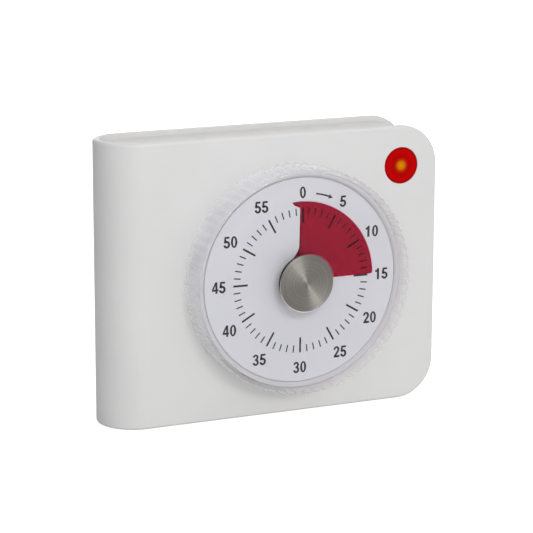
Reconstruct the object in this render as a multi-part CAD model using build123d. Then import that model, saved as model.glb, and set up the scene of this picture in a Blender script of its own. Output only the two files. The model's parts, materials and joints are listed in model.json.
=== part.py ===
from build123d import *
import math
import os

# Visual countdown timer: a flat plastic housing whose front, left bend and back form one band round
# a recessed waist, with a clear ribbed setting cover in front of a white dial. A red disc is threaded
# through the slit of the dial and shows the minutes that are left.
#
# Frame: X to the right as the user sees the timer, Y away from the user, Z up, millimetres. The
# origin lies under the middle of the bounding box. "Height" always means the distance in front of
# the housing's front face, towards the user, so pieces inside the housing have negative heights.
# Angles round the dial are in degrees clockwise from twelve o'clock.
#
# Round pieces are drawn as bars with many flats, which keeps the model light. Where one piece turns
# in another, the shaft is a true cylinder.

# ---------------------------------------------------------------- housing
BODY_WIDTH = 140.0
BODY_HEIGHT = 112.5
BODY_DEPTH = 30.0
WALL = 2.6  # front plate, bend and back plate
CORNER_RADIUS = 16.0
EDGE_BREAK = 0.8  # bevel round the outer edges
WAIST_DEPTH = 2.0  # how far the plates stand proud of the waist
WAIST_WALL = 1.6
FIT = 0.15  # gap between moulded pieces that fit into each other
SEAM = 0.2  # open line between the front and back shells

# ---------------------------------------------------------------- dial and cover
DIAL_OFFSET_X = 5.3  # dial centre, right of the housing's middle
COVER_RADIUS = 45.0
COVER_HEIGHT = 16.0
COVER_WALL = 1.8
COVER_WINDOW = 2.2
COVER_LIFT = 0.4  # running gap to the front plate
COVER_CHAMFER = 1.0
RIB_COUNT = 72
RIB_DEPTH = 0.7
DRUM_GAP = 0.4  # between the drum and the turning cover
DRUM_WALL = 2.6
DRUM_RIM = 2.1  # white ring round the dial
DRUM_RIM_RISE = 0.7  # how far the ring stands above the dial
DRUM_RIM_SLOPE = 0.8  # width of the slope down to the dial
DIAL_SEAT = 2.6  # ledge under the dial's edge
DRUM_FLOOR_TOP = 8.0
DRUM_FLOOR = 2.0
DIAL_HEIGHT = 10.15  # printed face of the dial
SHEET = 0.2  # dial and red disc are both cut from this film
SHEET_GAP = 0.25  # between the two films
DIAL_HOLE_RADIUS = 9.2
SLIT_MARGIN = 9.2  # from the slit's outer end to the dial's edge
SLIT_MOUTH = 3.35  # widths of the slit at the hole, past its mouth and at the hook
SLIT_ROOT = 0.92
SLIT_TIP = 0.62
MOUTH_LENGTH = 2.7
HOOK_REACH = 3.9
HOOK_RISE = 2.9
BLEND_CLEARANCE = 1.3  # from the flat margin's inner edge to the drum's ledge
BLEND_STEP_COUNT = 2
RED_CLEARANCE = 0.35  # from the red disc's edge to the slit's end
RED_CORNER = 0.9
RED_MINUTES = 15.0  # time shown at rest
RED_OVERLAP = 2.0  # degrees that the film stays short of a full turn
CAP_RADIUS = 11.5
CAP_THICKNESS = 0.8
CAP_RECESS = 0.5
CAP_BEVEL = 0.2

# ---------------------------------------------------------------- spindle
SPINDLE_RADIUS = 2.5
SPINDLE_TIP_RADIUS = 1.8
SPINDLE_PIVOT_RADIUS = 1.4
COLLAR_RADIUS = 4.0
HEX_WIDTH = 4.0  # across the flats of the hexagon that drives the red disc
HEX_START = 8.9
RED_HUB_RADIUS = 4.6
RED_HUB_WALL_GRIP = 0.5  # how deep the red film reaches into its hub
RED_HUB_LOW = 9.2
RED_HUB_HIGH = 12.2
COVER_HUB_RADIUS = 8.0
COVER_HUB_LOW = 13.05
BUSH_RADIUS = 4.0
BUSH_FLANGE_RADIUS = 5.5
BUSH_FLANGE = 0.6
CLIP_BITE = 0.45  # depth of the clip's groove
CLIP_REACH = 1.6
CLIP_THICKNESS = 0.6
RUNNING = 0.05  # radial clearance of a shaft in its bore
FLAT_COUNT = 10  # flats of small round pieces, of medium ones and of the large rims
ROUND_COUNT = 20
RIM_COUNT = 36

# ---------------------------------------------------------------- movement
MODULE_FINE = 0.4
MODULE_COARSE = 0.5
WHEEL_TEETH = 48
PINION_TEETH = 8
CENTRE_TEETH = 50
CENTRE_PINION_TEETH = 10
ADDENDUM = 0.8  # tooth height above and below the pitch circle, in modules
DEDENDUM = 1.15
TOOTH_SHARE = 0.8  # tooth width at the pitch circle, as a share of half a pitch
WHEEL_ROOT_SHARE = 1.25  # widths at the root, as a share of that width; wheel teeth are pointed
PINION_ROOT_SHARE = 0.8
PINION_TIP_SHARE = 0.4
ROTOR_BEARING = 30.0  # degrees from the second wheel up to the rotor
WINDOW_COUNT = 4  # windows between a wheel's spokes, by shares of the wheel's radius
WINDOW_PLACE = 0.55
WINDOW_SIZE = 0.24
WHEEL_THICKNESS = 0.8
CENTRE_THICKNESS = 1.2
ARBOR_RADIUS = 0.8
PIVOT_RADIUS = 0.5
PIVOT_DEPTH = 0.8
WASHER_REACH = 2.4  # clutch spring beyond the spindle
WASHER_THICKNESS = 0.25
MOVEMENT_PLATE = 1.2
MOVEMENT_BACK = 18.0
MOVEMENT_LEFT = 27.0
MOVEMENT_RIGHT = 20.5
MOVEMENT_HIGH = 23.0
MOVEMENT_WALL = 1.2
WHEEL_CLEARANCE = 0.5  # from the centre wheel's teeth to the case
CENTRE_LAYER = 5.0  # depths of the front faces of the wheel layers
SECOND_LAYER = 7.0
FIRST_LAYER = 8.8
ROTOR_MAGNET_RADIUS = 3.0
ROTOR_MAGNET_LENGTH = 3.0
ROTOR_GAP = 0.5
ROTOR_NOTCH = 0.5  # radius of the two notches that give the motor its direction
STATOR_THICKNESS = 1.0
STATOR_LIMB = 3.0
STATOR_RIM = 1.2  # iron left above and below the rotor
STATOR_SIDE_GAP = 1.5
STATOR_POST_RADIUS = 1.3
COIL_RADIUS = 3.4
COIL_LENGTH = 16.0
COIL_FLANGE = 0.6
CORE_WIDTH = 2.2
LUG_RADIUS = 3.4
PILLAR_RADIUS = 3.0
PILLAR_PLACES = ((-31.0, 2.0), (24.5, -10.0), (24.5, 17.0))

# ---------------------------------------------------------------- screws
SCREW_RADIUS = 1.15
SCREW_HEAD_RADIUS = 2.5
SCREW_HEAD = 1.6
SCREW_SLOT = 0.8
PILOT_RADIUS = 1.2
BOSS_RADIUS = 3.4
BOSS_COLLAR = 1.3  # how much wider the back shell's bosses are
BOSS_WEB = 1.3  # plastic left under a screw head
SCREW_SINK = 6.0  # from the back face to where the two shells' bosses meet
HOUSING_SCREW_LENGTH = 12.0
SMALL_SCREW_LENGTH = 5.0
BOSS_EDGE = 11.5  # screw centres from the housing's ends
BEND_BOSS_INSET = 6.0  # and from the bend
BOARD_BOSS_DROP = 7.5  # and the upper right one from the board's lower edge

# ---------------------------------------------------------------- electronics
LENS_RADIUS = 7.3
LENS_FLANGE = 1.1
LENS_THICKNESS = 3.4
LED_RADIUS = 2.5
LED_LENGTH = 8.6
LED_RIM = 0.4
LED_DOME = 2.0
LENS_AIR = 0.3  # between the lamp's tip and the lens
BOARD_INSET = 17.0  # from the bend's end, and from the right edge of the housing
BOARD_SIDE = 8.0
BOARD_MARGIN = 3.4  # under the waist's top wall
BOARD_CLEARANCE = 2.75  # above the movement
BOARD_THICKNESS = 1.6
BOARD_POST_RADIUS = 2.6
BOARD_SCREW_INSET = 3.6
CHIP_X = -8.0
CHIP_LENGTH = 10.0
CHIP_WIDTH = 4.0
CHIP_HEIGHT = 1.5
CHIP_LIFT = 0.2
LEG_COUNT = 8
LEG_PITCH = 1.27
LEG_WIDTH = 0.4
LEG_SPAN = 6.2
CRYSTAL_X = 4.0
CRYSTAL_RISE = 5.0
CRYSTAL_LENGTH = 8.0
CRYSTAL_WIDTH = 3.2
CRYSTAL_HEIGHT = 3.0
CAPACITOR_X = 22.0
CAPACITOR_DROP = 4.0
CAPACITOR_RADIUS = 3.15
CAPACITOR_HEIGHT = 7.0
BUZZER_X = 10.0
BUZZER_RADIUS = 8.0
BUZZER_HEIGHT = 6.0
BUZZER_HOLE = 1.5
BUZZER_GAP = 0.8  # from the buzzer to the back plate
GRILLE_SLOT = 1.6
GRILLE_PITCH = 3.2
SWITCH_INSET = 14.0  # from the end of the board near the bend
SWITCH_WIDTH = 12.0
SWITCH_TALL = 5.0
SWITCH_BODY = 4.4
SWITCH_FLOOR = 1.2
SWITCH_TRAVEL = 2.0
KNOB_STEM = 2.4
KNOB_WIDTH = 5.0
KNOB_TALL = 4.6
KNOB_CAP = 1.2
KNOB_GAP = 0.3
KNOB_GROOVE = 0.6
KNOB_GROOVE_PITCH = 1.3
KNOB_GROOVE_DEPTH = 0.4

# ---------------------------------------------------------------- battery bay
CELL_RADIUS = 7.1
CELL_LENGTH = 49.2
CELL_NUB = 1.2
CELL_NUB_RADIUS = 2.6
CELL_GAP = 0.4
CONTACT = 0.5
CONTACT_SHARE = 0.75  # contact plates, as a share of the cell's width
SPRING_LENGTH = 5.0
SPRING_RADIUS = 3.6
SPRING_TIP_RADIUS = 2.2
SPRING_WIRE = 0.7
SPRING_TURN_COUNT = 3
TRAY_CENTRE_X = 2.0
TRAY_WALL = 1.2
CRADLE_SHARES = (0.25, 0.75)  # places of the two cradle ribs along the tray
DOOR_LEDGE = 1.0
DOOR_GAP = 0.25
DOOR_THICKNESS = 2.2
DOOR_SEAT_GAP = 0.2
HINGE_PIN_RADIUS = 0.8
HINGE_PIN_LENGTH = 1.2
HINGE_INSET = 1.0  # from the door's inner face to the hinge axis
LATCH_WIDTH = 12.0
LATCH_LENGTH = 9.0
LATCH_SLIT = 0.6
THUMB_WIDTH = 7.2
THUMB_TALL = 3.0
THUMB_DEPTH = 1.1

# ---------------------------------------------------------------- derived places
SET_OUT = COVER_HEIGHT - CAP_RECESS + CAP_THICKNESS  # front of the steel cap
BACK_Y = (BODY_DEPTH + SET_OUT) / 2
FRONT_Y = BACK_Y - BODY_DEPTH
LEFT_X = -BODY_WIDTH / 2
RIGHT_X = BODY_WIDTH / 2
BEND_X = LEFT_X + BODY_DEPTH / 2
MID_Y = FRONT_Y + BODY_DEPTH / 2
BACK_INSIDE = -BODY_DEPTH + WALL  # heights of the back plate's inner face and of the boss joint
BOSS_JOINT = -BODY_DEPTH + SCREW_SINK
DIAL_X = DIAL_OFFSET_X
DIAL_Z = BODY_HEIGHT / 2
COVER_INNER = COVER_RADIUS - COVER_WALL
COVER_VALLEY = COVER_RADIUS - RIB_DEPTH
WINDOW_BACK = COVER_HEIGHT - COVER_WINDOW
CAP_SEAT = COVER_HEIGHT - CAP_RECESS
DRUM_RADIUS = COVER_INNER - DRUM_GAP
DIAL_RADIUS = DRUM_RADIUS - DRUM_RIM
DRUM_INNER = DIAL_RADIUS - DIAL_SEAT
SLIT_END_RADIUS = DIAL_RADIUS - SLIT_MARGIN
BLEND_END_RADIUS = DRUM_INNER - BLEND_CLEARANCE
RED_RADIUS = SLIT_END_RADIUS - RED_CLEARANCE
PITCH = 2 * SHEET + 2 * SHEET_GAP  # climb of both films per turn
RED_OFFSET = SHEET + SHEET_GAP  # red film in front of the dial film
RING_OFFSET = PITCH / 2  # flat margin of the dial above its lowest edge
DIAL_BASE = DIAL_HEIGHT - SHEET - RING_OFFSET  # underside of the dial film at its low edge
FULL_TURN = 360.0
SECTION_STEP = FULL_TURN / RIM_COUNT  # degrees between the sections of a film
STEP_LEAD_IN = SECTION_STEP  # stretch before and after the slit where the margin steps down
STEP_LEAD_OUT = 3 * SECTION_STEP
CENTRE_TIP_RADIUS = MODULE_COARSE * (CENTRE_TEETH / 2 + ADDENDUM)
MOVEMENT_LOW = CENTRE_TIP_RADIUS + WHEEL_CLEARANCE + MOVEMENT_WALL
MOVEMENT_FRONT_INSIDE = -WALL - MOVEMENT_PLATE
MOVEMENT_BACK_INSIDE = -MOVEMENT_BACK + MOVEMENT_PLATE
LENS_X = RIGHT_X - CORNER_RADIUS
LENS_Z = BODY_HEIGHT - CORNER_RADIUS
LED_TIP = -LENS_THICKNESS - LENS_AIR
BOARD_LEFT = BEND_X + BOARD_INSET
BOARD_RIGHT = RIGHT_X - BOARD_SIDE
SWITCH_X = BOARD_LEFT + SWITCH_INSET
BOARD_LOW = DIAL_Z + MOVEMENT_HIGH + BOARD_CLEARANCE
BOARD_HIGH = BODY_HEIGHT - WAIST_DEPTH - WAIST_WALL - BOARD_MARGIN
BOARD_MIDDLE = (BOARD_LOW + BOARD_HIGH) / 2
BOARD_BACK = BACK_INSIDE + BUZZER_GAP + BUZZER_HEIGHT  # heights of the board's two faces
BOARD_FRONT = BOARD_BACK + BOARD_THICKNESS
TRAY_LOW = WAIST_DEPTH + WAIST_WALL + TRAY_WALL
TRAY_HIGH = TRAY_LOW + 4 * CELL_RADIUS + 3 * CELL_GAP
TRAY_FLOOR = BACK_INSIDE + 2 * CELL_RADIUS + 2 * CELL_GAP
TRAY_LENGTH = CELL_LENGTH + CELL_NUB + SPRING_LENGTH + 2 * CONTACT
TRAY_LEFT = TRAY_CENTRE_X - TRAY_LENGTH / 2
TRAY_RIGHT = TRAY_CENTRE_X + TRAY_LENGTH / 2
CELL_HEIGHT = TRAY_FLOOR - CELL_RADIUS - CELL_GAP / 2
CELL_LOWER_Z = TRAY_LOW + CELL_GAP + CELL_RADIUS
CELL_UPPER_Z = TRAY_HIGH - CELL_GAP - CELL_RADIUS
DOOR_INSIDE = BACK_INSIDE - DOOR_SEAT_GAP
DOOR_OUTSIDE = DOOR_INSIDE - DOOR_THICKNESS


# ---------------------------------------------------------------- helpers
def y_at(height):
    """Y of the plane that lies `height` in front of the housing's front face."""
    return FRONT_Y - height


def prism(sketch, low, high):
    """Sketch drawn in X and Z, made solid between two heights."""
    return extrude(Plane.XZ.offset(low - FRONT_Y) * sketch, high - low)


def cylinder(x, z, radius, low, high):
    """True cylinder along Y between two heights."""
    return Pos(x, y_at((low + high) / 2), z) * Rot(90, 0, 0) * Cylinder(radius, high - low)


def rod(x, z, radius, low, high, flats=FLAT_COUNT):
    """Round bar along Y between two heights, with its corners on the circle."""
    return prism(Pos(x, z) * RegularPolygon(radius, flats), low, high)


def bore(x, z, radius, low, high, flats=FLAT_COUNT):
    """Round hole along Y between two heights, with its flats outside the circle."""
    return prism(Pos(x, z) * RegularPolygon(radius, flats, major_radius=False), low, high)


def skinned(sections):
    """Solid through closed sections of as many points each, skinned with flat triangles."""
    faces = [Face(Wire.make_polygon(section, close=True)) for section in (sections[0], sections[-1])]
    for near, far in zip(sections, sections[1:]):
        for index, corner in enumerate(near):
            for third in (near[index - 1], far[index]):
                outline = (far[index - 1], corner, third)
                faces.append(Face(Wire.make_polygon(outline, close=True)))
    return Solid(Shell(faces))


def taper(x, z, low_radius, high_radius, low, high, flats=FLAT_COUNT):
    """Bar along Y that changes its radius from its low to its high end."""
    ends = []
    for radius, height in ((low_radius, low), (high_radius, high)):
        angles = [2 * math.pi * flat / flats for flat in range(flats)]
        ends.append([(x + radius * math.cos(angle), y_at(height), z + radius * math.sin(angle))
                     for angle in angles])
    return skinned(ends)


def slab(left, right, bottom, top, low, high):
    """Box from left to right, bottom to top, between two heights."""
    middle = Pos((left + right) / 2, y_at((low + high) / 2), (bottom + top) / 2)
    return middle * Box(right - left, high - low, top - bottom)


def block(x, z, width, tall, low, high):
    """Box of a width and a tallness centred on x and z, between two heights."""
    return slab(x - width / 2, x + width / 2, z - tall / 2, z + tall / 2, low, high)


def along_x(left, right, height, z, radius):
    """True cylinder along X."""
    return Pos((left + right) / 2, y_at(height), z) * Rot(0, 90, 0) * Cylinder(radius, right - left)


def bar_along_x(left, right, height, z, radius, flats=FLAT_COUNT):
    """Round bar along X, with its corners on the circle."""
    plane = Plane(origin=(left, y_at(height), z), z_dir=(1, 0, 0))
    return extrude(plane * RegularPolygon(radius, flats), right - left)


def on_dial(radius, clock_angle, height):
    """Point at a radius and clock angle round the dial's axis."""
    angle = math.radians(clock_angle)
    return (DIAL_X + radius * math.sin(angle), y_at(height), DIAL_Z + radius * math.cos(angle))


def smooth(share):
    """Share from 0 to 1 that starts and ends gently."""
    return share * share * (3 - 2 * share)


def screw(x, z, seat, length, towards=1):
    """Pan screw whose head lies on `seat` and whose shank points to the user, or away at -1."""
    low, high = sorted((seat, seat + towards * length))
    head_low, head_high = sorted((seat, seat - towards * SCREW_HEAD))
    slot_low, slot_high = sorted((seat - towards * SCREW_HEAD, seat - towards * SCREW_HEAD / 2))
    shank = rod(x, z, SCREW_RADIUS, low, high)
    head = rod(x, z, SCREW_HEAD_RADIUS, head_low, head_high)
    return shank + head - block(x, z, 2 * SCREW_HEAD_RADIUS, SCREW_SLOT, slot_low, slot_high)


def group(solids):
    """Separate solids kept in one node."""
    return Compound(children=[piece for item in solids for piece in item.solids()])


# ---------------------------------------------------------------- housing
def stadium(inset):
    """Top view of the housing, round at the left, drawn smaller by `inset` and open to the right."""
    radius = BODY_DEPTH / 2 - inset
    round_end = Pos(BEND_X, MID_Y) * Circle(radius)
    straight = Pos(BEND_X + BODY_WIDTH / 2, MID_Y) * Rectangle(BODY_WIDTH, 2 * radius)
    return extrude(round_end + straight, BODY_HEIGHT)


def side_outline(inset):
    """Front view of the housing, drawn smaller by `inset`, round at the right corners."""
    width, height = BODY_WIDTH - inset, BODY_HEIGHT - 2 * inset
    outline = Pos(LEFT_X + width / 2, DIAL_Z) * Rectangle(width, height)
    corners = outline.vertices().group_by(Axis.X)[-1]
    return fillet(corners, CORNER_RADIUS - inset)


def band():
    """Front plate, left bend and back plate in one, with bevelled outer edges."""
    whole = stadium(0) & prism(side_outline(0), -BODY_DEPTH, 0)
    plates = whole.faces().filter_by(Plane.XZ)
    bend_edges = [edge for edge in whole.edges().filter_by(GeomType.CIRCLE)
                  if abs(edge.radius - BODY_DEPTH / 2) < FIT]
    rim = [edge for face in plates for edge in face.edges() if edge.center().X > BEND_X + FIT]
    return chamfer(rim + bend_edges, EDGE_BREAK) - stadium(WALL)


def boss_places():
    """Centres of the four screws that hold the housing together."""
    left, right = BEND_X + BEND_BOSS_INSET, RIGHT_X - BOSS_EDGE
    low, high = BOSS_EDGE, BODY_HEIGHT - BOSS_EDGE
    return (left, low), (left, high), (right, low), (right, BOARD_LOW - BOARD_BOSS_DROP)


def back_half():
    """Space taken by the back shell: behind the middle and right of the bend."""
    return slab(BEND_X, RIGHT_X + WALL, -WALL, BODY_HEIGHT + WALL, -BODY_DEPTH - WALL,
                -BODY_DEPTH / 2)


def front_shell():
    """Front plate with the left bend, screw bosses and the holes for the lens and the bush."""
    shell = band() - back_half() - Pos(-SEAM, 0, 0) * back_half()
    for x, z in boss_places():
        shell += rod(x, z, BOSS_RADIUS, BOSS_JOINT + FIT, -WALL)
    for x, z in boss_places():
        shell -= bore(x, z, PILOT_RADIUS, BOSS_JOINT, -WALL)
    shell -= bore(LENS_X, LENS_Z, LENS_RADIUS + FIT, -WALL, 0, ROUND_COUNT)
    shell -= bore(DIAL_X, DIAL_Z, BUSH_RADIUS + RUNNING, -WALL, 0, ROUND_COUNT)
    for x, z in pillar_places():
        shell -= bore(x, z, SCREW_RADIUS + FIT, -WALL, 0)
    return shell


def door_opening(spare=0.0):
    """Left, right, bottom and top of the battery opening, made smaller by `spare`."""
    grow = DOOR_LEDGE - spare
    return TRAY_LEFT - grow, TRAY_RIGHT + grow, TRAY_LOW - grow, TRAY_HIGH + grow


def grille():
    """Sound slots over the buzzer, each as long as the buzzer is wide there."""
    count = int(BUZZER_RADIUS // GRILLE_PITCH)
    slots = []
    for step in range(-count, count + 1):
        offset = step * GRILLE_PITCH
        width = 2 * math.sqrt(BUZZER_RADIUS ** 2 - offset ** 2) - GRILLE_SLOT
        slots.append(block(BUZZER_X, BOARD_MIDDLE + offset, width, GRILLE_SLOT, -BODY_DEPTH,
                           BACK_INSIDE))
    return slots


def knob_windows():
    """Pocket for the switch knob's cap and the slot for its stem."""
    pocket = block(SWITCH_X, BOARD_MIDDLE, KNOB_WIDTH + 2 * (SWITCH_TRAVEL + KNOB_GAP),
                   KNOB_TALL + 2 * KNOB_GAP, -BODY_DEPTH, -BODY_DEPTH + KNOB_CAP + KNOB_GAP)
    slot = block(SWITCH_X, BOARD_MIDDLE, KNOB_STEM + 2 * (SWITCH_TRAVEL + KNOB_GAP),
                 KNOB_STEM + 2 * KNOB_GAP, -BODY_DEPTH, BACK_INSIDE)
    return pocket + slot


def back_shell():
    """Back plate with the battery opening, grille, switch window, posts and counterbores."""
    shell = band() & back_half()
    for x, z in boss_places():
        shell += rod(x, z, BOSS_RADIUS + BOSS_COLLAR, BACK_INSIDE, BOSS_JOINT)
    for x, z in boss_places():
        shell -= bore(x, z, SCREW_HEAD_RADIUS + FIT, -BODY_DEPTH, BOSS_JOINT - BOSS_WEB,
                      ROUND_COUNT)
        shell -= bore(x, z, SCREW_RADIUS + FIT, -BODY_DEPTH, BOSS_JOINT)
    for x, z in board_screw_places():
        shell += rod(x, z, BOARD_POST_RADIUS, BACK_INSIDE, BOARD_BACK)
    for x, z in board_screw_places():
        shell -= bore(x, z, PILOT_RADIUS, BACK_INSIDE, BOARD_BACK)
    shell -= slab(*door_opening(), -BODY_DEPTH, BACK_INSIDE)
    for side in (-1, 1):
        shell -= hinge_pin(side, RUNNING)
    for slot in grille():
        shell -= slot
    return shell - knob_windows()


def waist_band():
    """Recessed band between the plates: top, right side and bottom, open at the bend."""
    outside = prism(side_outline(WAIST_DEPTH), BACK_INSIDE, -WALL)
    inset = WAIST_DEPTH + WAIST_WALL
    hollow = prism(side_outline(inset), -BODY_DEPTH, 0)
    hollow += slab(LEFT_X - WALL, BEND_X, inset, BODY_HEIGHT - inset, -BODY_DEPTH, 0)
    room = stadium(WALL + FIT) + slab(BEND_X, RIGHT_X, 0, BODY_HEIGHT, BACK_INSIDE, -WALL)
    return (outside - hollow) & room


def housing_screws():
    """Four screws from the back through the counterbores into the front shell's bosses."""
    return group([screw(x, z, BOSS_JOINT - BOSS_WEB, HOUSING_SCREW_LENGTH)
                  for x, z in boss_places()])


# ---------------------------------------------------------------- dial and films
def pillar_places():
    """Centres of the three pillars under the dial drum."""
    return tuple((DIAL_X + x, DIAL_Z + z) for x, z in PILLAR_PLACES)


def dial_drum():
    """White carrier inside the cover: rim round the dial, floor with the bush seat, pillars."""
    ledge, top = DIAL_HEIGHT - SHEET, DIAL_HEIGHT + DRUM_RIM_RISE
    floor_low = DRUM_FLOOR_TOP - DRUM_FLOOR
    seat = DIAL_RADIUS + FIT
    drum = rod(DIAL_X, DIAL_Z, DRUM_RADIUS, 0, top, RIM_COUNT)
    drum -= rod(DIAL_X, DIAL_Z, DRUM_RADIUS - DRUM_WALL, 0, floor_low, RIM_COUNT)
    drum -= rod(DIAL_X, DIAL_Z, DRUM_INNER, DRUM_FLOOR_TOP, ledge, RIM_COUNT)
    drum -= rod(DIAL_X, DIAL_Z, seat, ledge, DIAL_HEIGHT, RIM_COUNT)
    drum -= taper(DIAL_X, DIAL_Z, seat, seat + DRUM_RIM_SLOPE, DIAL_HEIGHT, top, RIM_COUNT)
    drum += rod(DIAL_X, DIAL_Z, BUSH_FLANGE_RADIUS, 0, floor_low, ROUND_COUNT)
    for x, z in pillar_places():
        drum += rod(x, z, PILLAR_RADIUS, 0, floor_low)
    for x, z in pillar_places():
        drum -= bore(x, z, PILOT_RADIUS, 0, floor_low)
    return drum - bore(DIAL_X, DIAL_Z, BUSH_RADIUS + RUNNING, 0, DRUM_FLOOR_TOP, ROUND_COUNT)


def film_section(clock_angle, corners):
    """Radial cut through a film: corners (radius, height) on the underside, given thickness."""
    under = [on_dial(radius, clock_angle, height) for radius, height in corners]
    over = [on_dial(radius, clock_angle, height + SHEET) for radius, height in reversed(corners)]
    return under + over


def margin_height(clock_angle):
    """Underside of the dial just outside the slit's end: the film steps down past the slit."""
    turn = (clock_angle + STEP_LEAD_IN) % FULL_TURN
    span = STEP_LEAD_IN + STEP_LEAD_OUT
    if turn < span:
        top = PITCH * (FULL_TURN - STEP_LEAD_IN) / FULL_TURN
        bottom = PITCH * STEP_LEAD_OUT / FULL_TURN
        return DIAL_BASE + top + (bottom - top) * smooth(turn / span)
    return DIAL_BASE + PITCH * (clock_angle % FULL_TURN) / FULL_TURN


def dial_section(clock_angle):
    """Cut through the dial film: a screw surface inside, flat at the printed margin."""
    screw_height = DIAL_BASE + PITCH * clock_angle / FULL_TURN
    margin = margin_height(clock_angle)
    flat = DIAL_BASE + RING_OFFSET
    corners = [(DIAL_HOLE_RADIUS, screw_height), (SLIT_END_RADIUS - 2 * SHEET, screw_height)]
    for step in range(BLEND_STEP_COUNT + 1):
        share = step / BLEND_STEP_COUNT
        radius = SLIT_END_RADIUS + (BLEND_END_RADIUS - SLIT_END_RADIUS) * share
        corners.append((radius, margin + (flat - margin) * smooth(share)))
    return film_section(clock_angle, corners + [(DIAL_RADIUS, flat)])


def dial_sector(first, last):
    """Part of the dial film between two sections, counted clockwise from twelve o'clock."""
    return skinned([dial_section(SECTION_STEP * step) for step in range(first, last + 1)])


def slit_notch():
    """Outline between the slit's left edge and twelve o'clock, with the hook at its outer end."""
    hole, end = DIAL_HOLE_RADIUS, SLIT_END_RADIUS
    hook = [(-HOOK_REACH * share, math.sqrt(end ** 2 - (HOOK_REACH * share) ** 2))
            for share in (1.0, 0.5, 0.0)]
    bend = [(-HOOK_REACH * 0.4, end - HOOK_RISE * 0.67), (-HOOK_REACH * 0.85, end - HOOK_RISE * 0.45)]
    mouth = [(0, hole - SLIT_MOUTH), (-SLIT_MOUTH, hole - SLIT_MOUTH), (-SLIT_MOUTH, hole - SHEET),
             (-SLIT_MOUTH / 2, hole + MOUTH_LENGTH / 3), (-SLIT_ROOT, hole + MOUTH_LENGTH)]
    points = mouth + [(-SLIT_TIP, end - HOOK_RISE)] + bend + hook
    return Pos(DIAL_X, DIAL_Z) * make_face(Polyline(*points, close=True))


def dial_plate():
    """White dial film: slit from the hole to the hook, twisted so that the red film passes."""
    half = RIM_COUNT // 2
    notch = prism(slit_notch(), DIAL_BASE - PITCH, DIAL_BASE + 2 * PITCH)
    return dial_sector(0, half) + (dial_sector(half, RIM_COUNT) - notch)


def corner_nib():
    """Sliver outside the round corner at the front edge of the red film."""
    square = Pos(RED_RADIUS - RED_CORNER / 2, RED_CORNER / 2) * Rectangle(RED_CORNER, RED_CORNER)
    return square - Pos(RED_RADIUS - RED_CORNER, RED_CORNER) * Circle(RED_CORNER)


def red_disc():
    """Red film with its hub: a screw surface of the dial's pitch that turns through the slit."""
    lead = RED_MINUTES * FULL_TURN / 60
    tail = lead - FULL_TURN + RED_OVERLAP
    low = DIAL_BASE + RED_OFFSET
    grip = RED_HUB_RADIUS - RED_HUB_WALL_GRIP
    sections = []
    for step in range(RIM_COUNT + 1):
        angle = tail + (lead - tail) * step / RIM_COUNT
        height = low + PITCH * angle / FULL_TURN
        sections.append(film_section(angle, [(grip, height), (RED_RADIUS, height)]))
    nib = Pos(DIAL_X, DIAL_Z) * Rot(0, 0, 90 - lead) * corner_nib()
    hub = rod(DIAL_X, DIAL_Z, RED_HUB_RADIUS, RED_HUB_LOW, RED_HUB_HIGH, ROUND_COUNT)
    film = skinned(sections) - prism(nib, low - PITCH, low + PITCH)
    return film + hub - hexagon(RUNNING, RED_HUB_LOW, RED_HUB_HIGH)


# ---------------------------------------------------------------- cover, cap and spindle
def ribbed_ring():
    """Outline of the cover with its grip ribs."""
    points = []
    for rib in range(RIB_COUNT):
        for share, radius in ((0.0, COVER_VALLEY), (0.5, COVER_RADIUS)):
            angle = 2 * math.pi * (rib + share) / RIB_COUNT
            points.append((DIAL_X + radius * math.cos(angle), DIAL_Z + radius * math.sin(angle)))
    return make_face(Polyline(*points, close=True))


def clear_cover():
    """Clear cup over the dial: window, wall with grip ribs, hole for the tip, seat for the cap."""
    shoulder = COVER_HEIGHT - COVER_CHAMFER
    cup = prism(ribbed_ring(), COVER_LIFT, shoulder)
    cup += taper(DIAL_X, DIAL_Z, COVER_VALLEY, COVER_VALLEY - COVER_CHAMFER, shoulder,
                 COVER_HEIGHT, RIB_COUNT)
    cup -= rod(DIAL_X, DIAL_Z, COVER_INNER, 0, WINDOW_BACK, RIM_COUNT)
    cup -= bore(DIAL_X, DIAL_Z, SPINDLE_TIP_RADIUS + RUNNING, WINDOW_BACK, COVER_HEIGHT)
    return cup - bore(DIAL_X, DIAL_Z, CAP_RADIUS + FIT, CAP_SEAT, COVER_HEIGHT, RIM_COUNT)


def cap_disc():
    """Thin turned steel disc with a broken edge."""
    disc = rod(DIAL_X, DIAL_Z, CAP_RADIUS, CAP_SEAT, SET_OUT - CAP_BEVEL, RIM_COUNT)
    return disc + taper(DIAL_X, DIAL_Z, CAP_RADIUS, CAP_RADIUS - CAP_BEVEL, SET_OUT - CAP_BEVEL,
                        SET_OUT, RIM_COUNT)


def cover_hub():
    """Moulded ring behind the window that grips the spindle's tip."""
    ring = rod(DIAL_X, DIAL_Z, COVER_HUB_RADIUS, COVER_HUB_LOW, WINDOW_BACK, ROUND_COUNT)
    return ring - rod(DIAL_X, DIAL_Z, SPINDLE_TIP_RADIUS, COVER_HUB_LOW, WINDOW_BACK)


def hexagon(spare, low, high):
    """Hexagon bar on the dial's axis, or the hole for it when `spare` is given."""
    return bore(DIAL_X, DIAL_Z, HEX_WIDTH / 2 + spare, low, high, 6)


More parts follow.
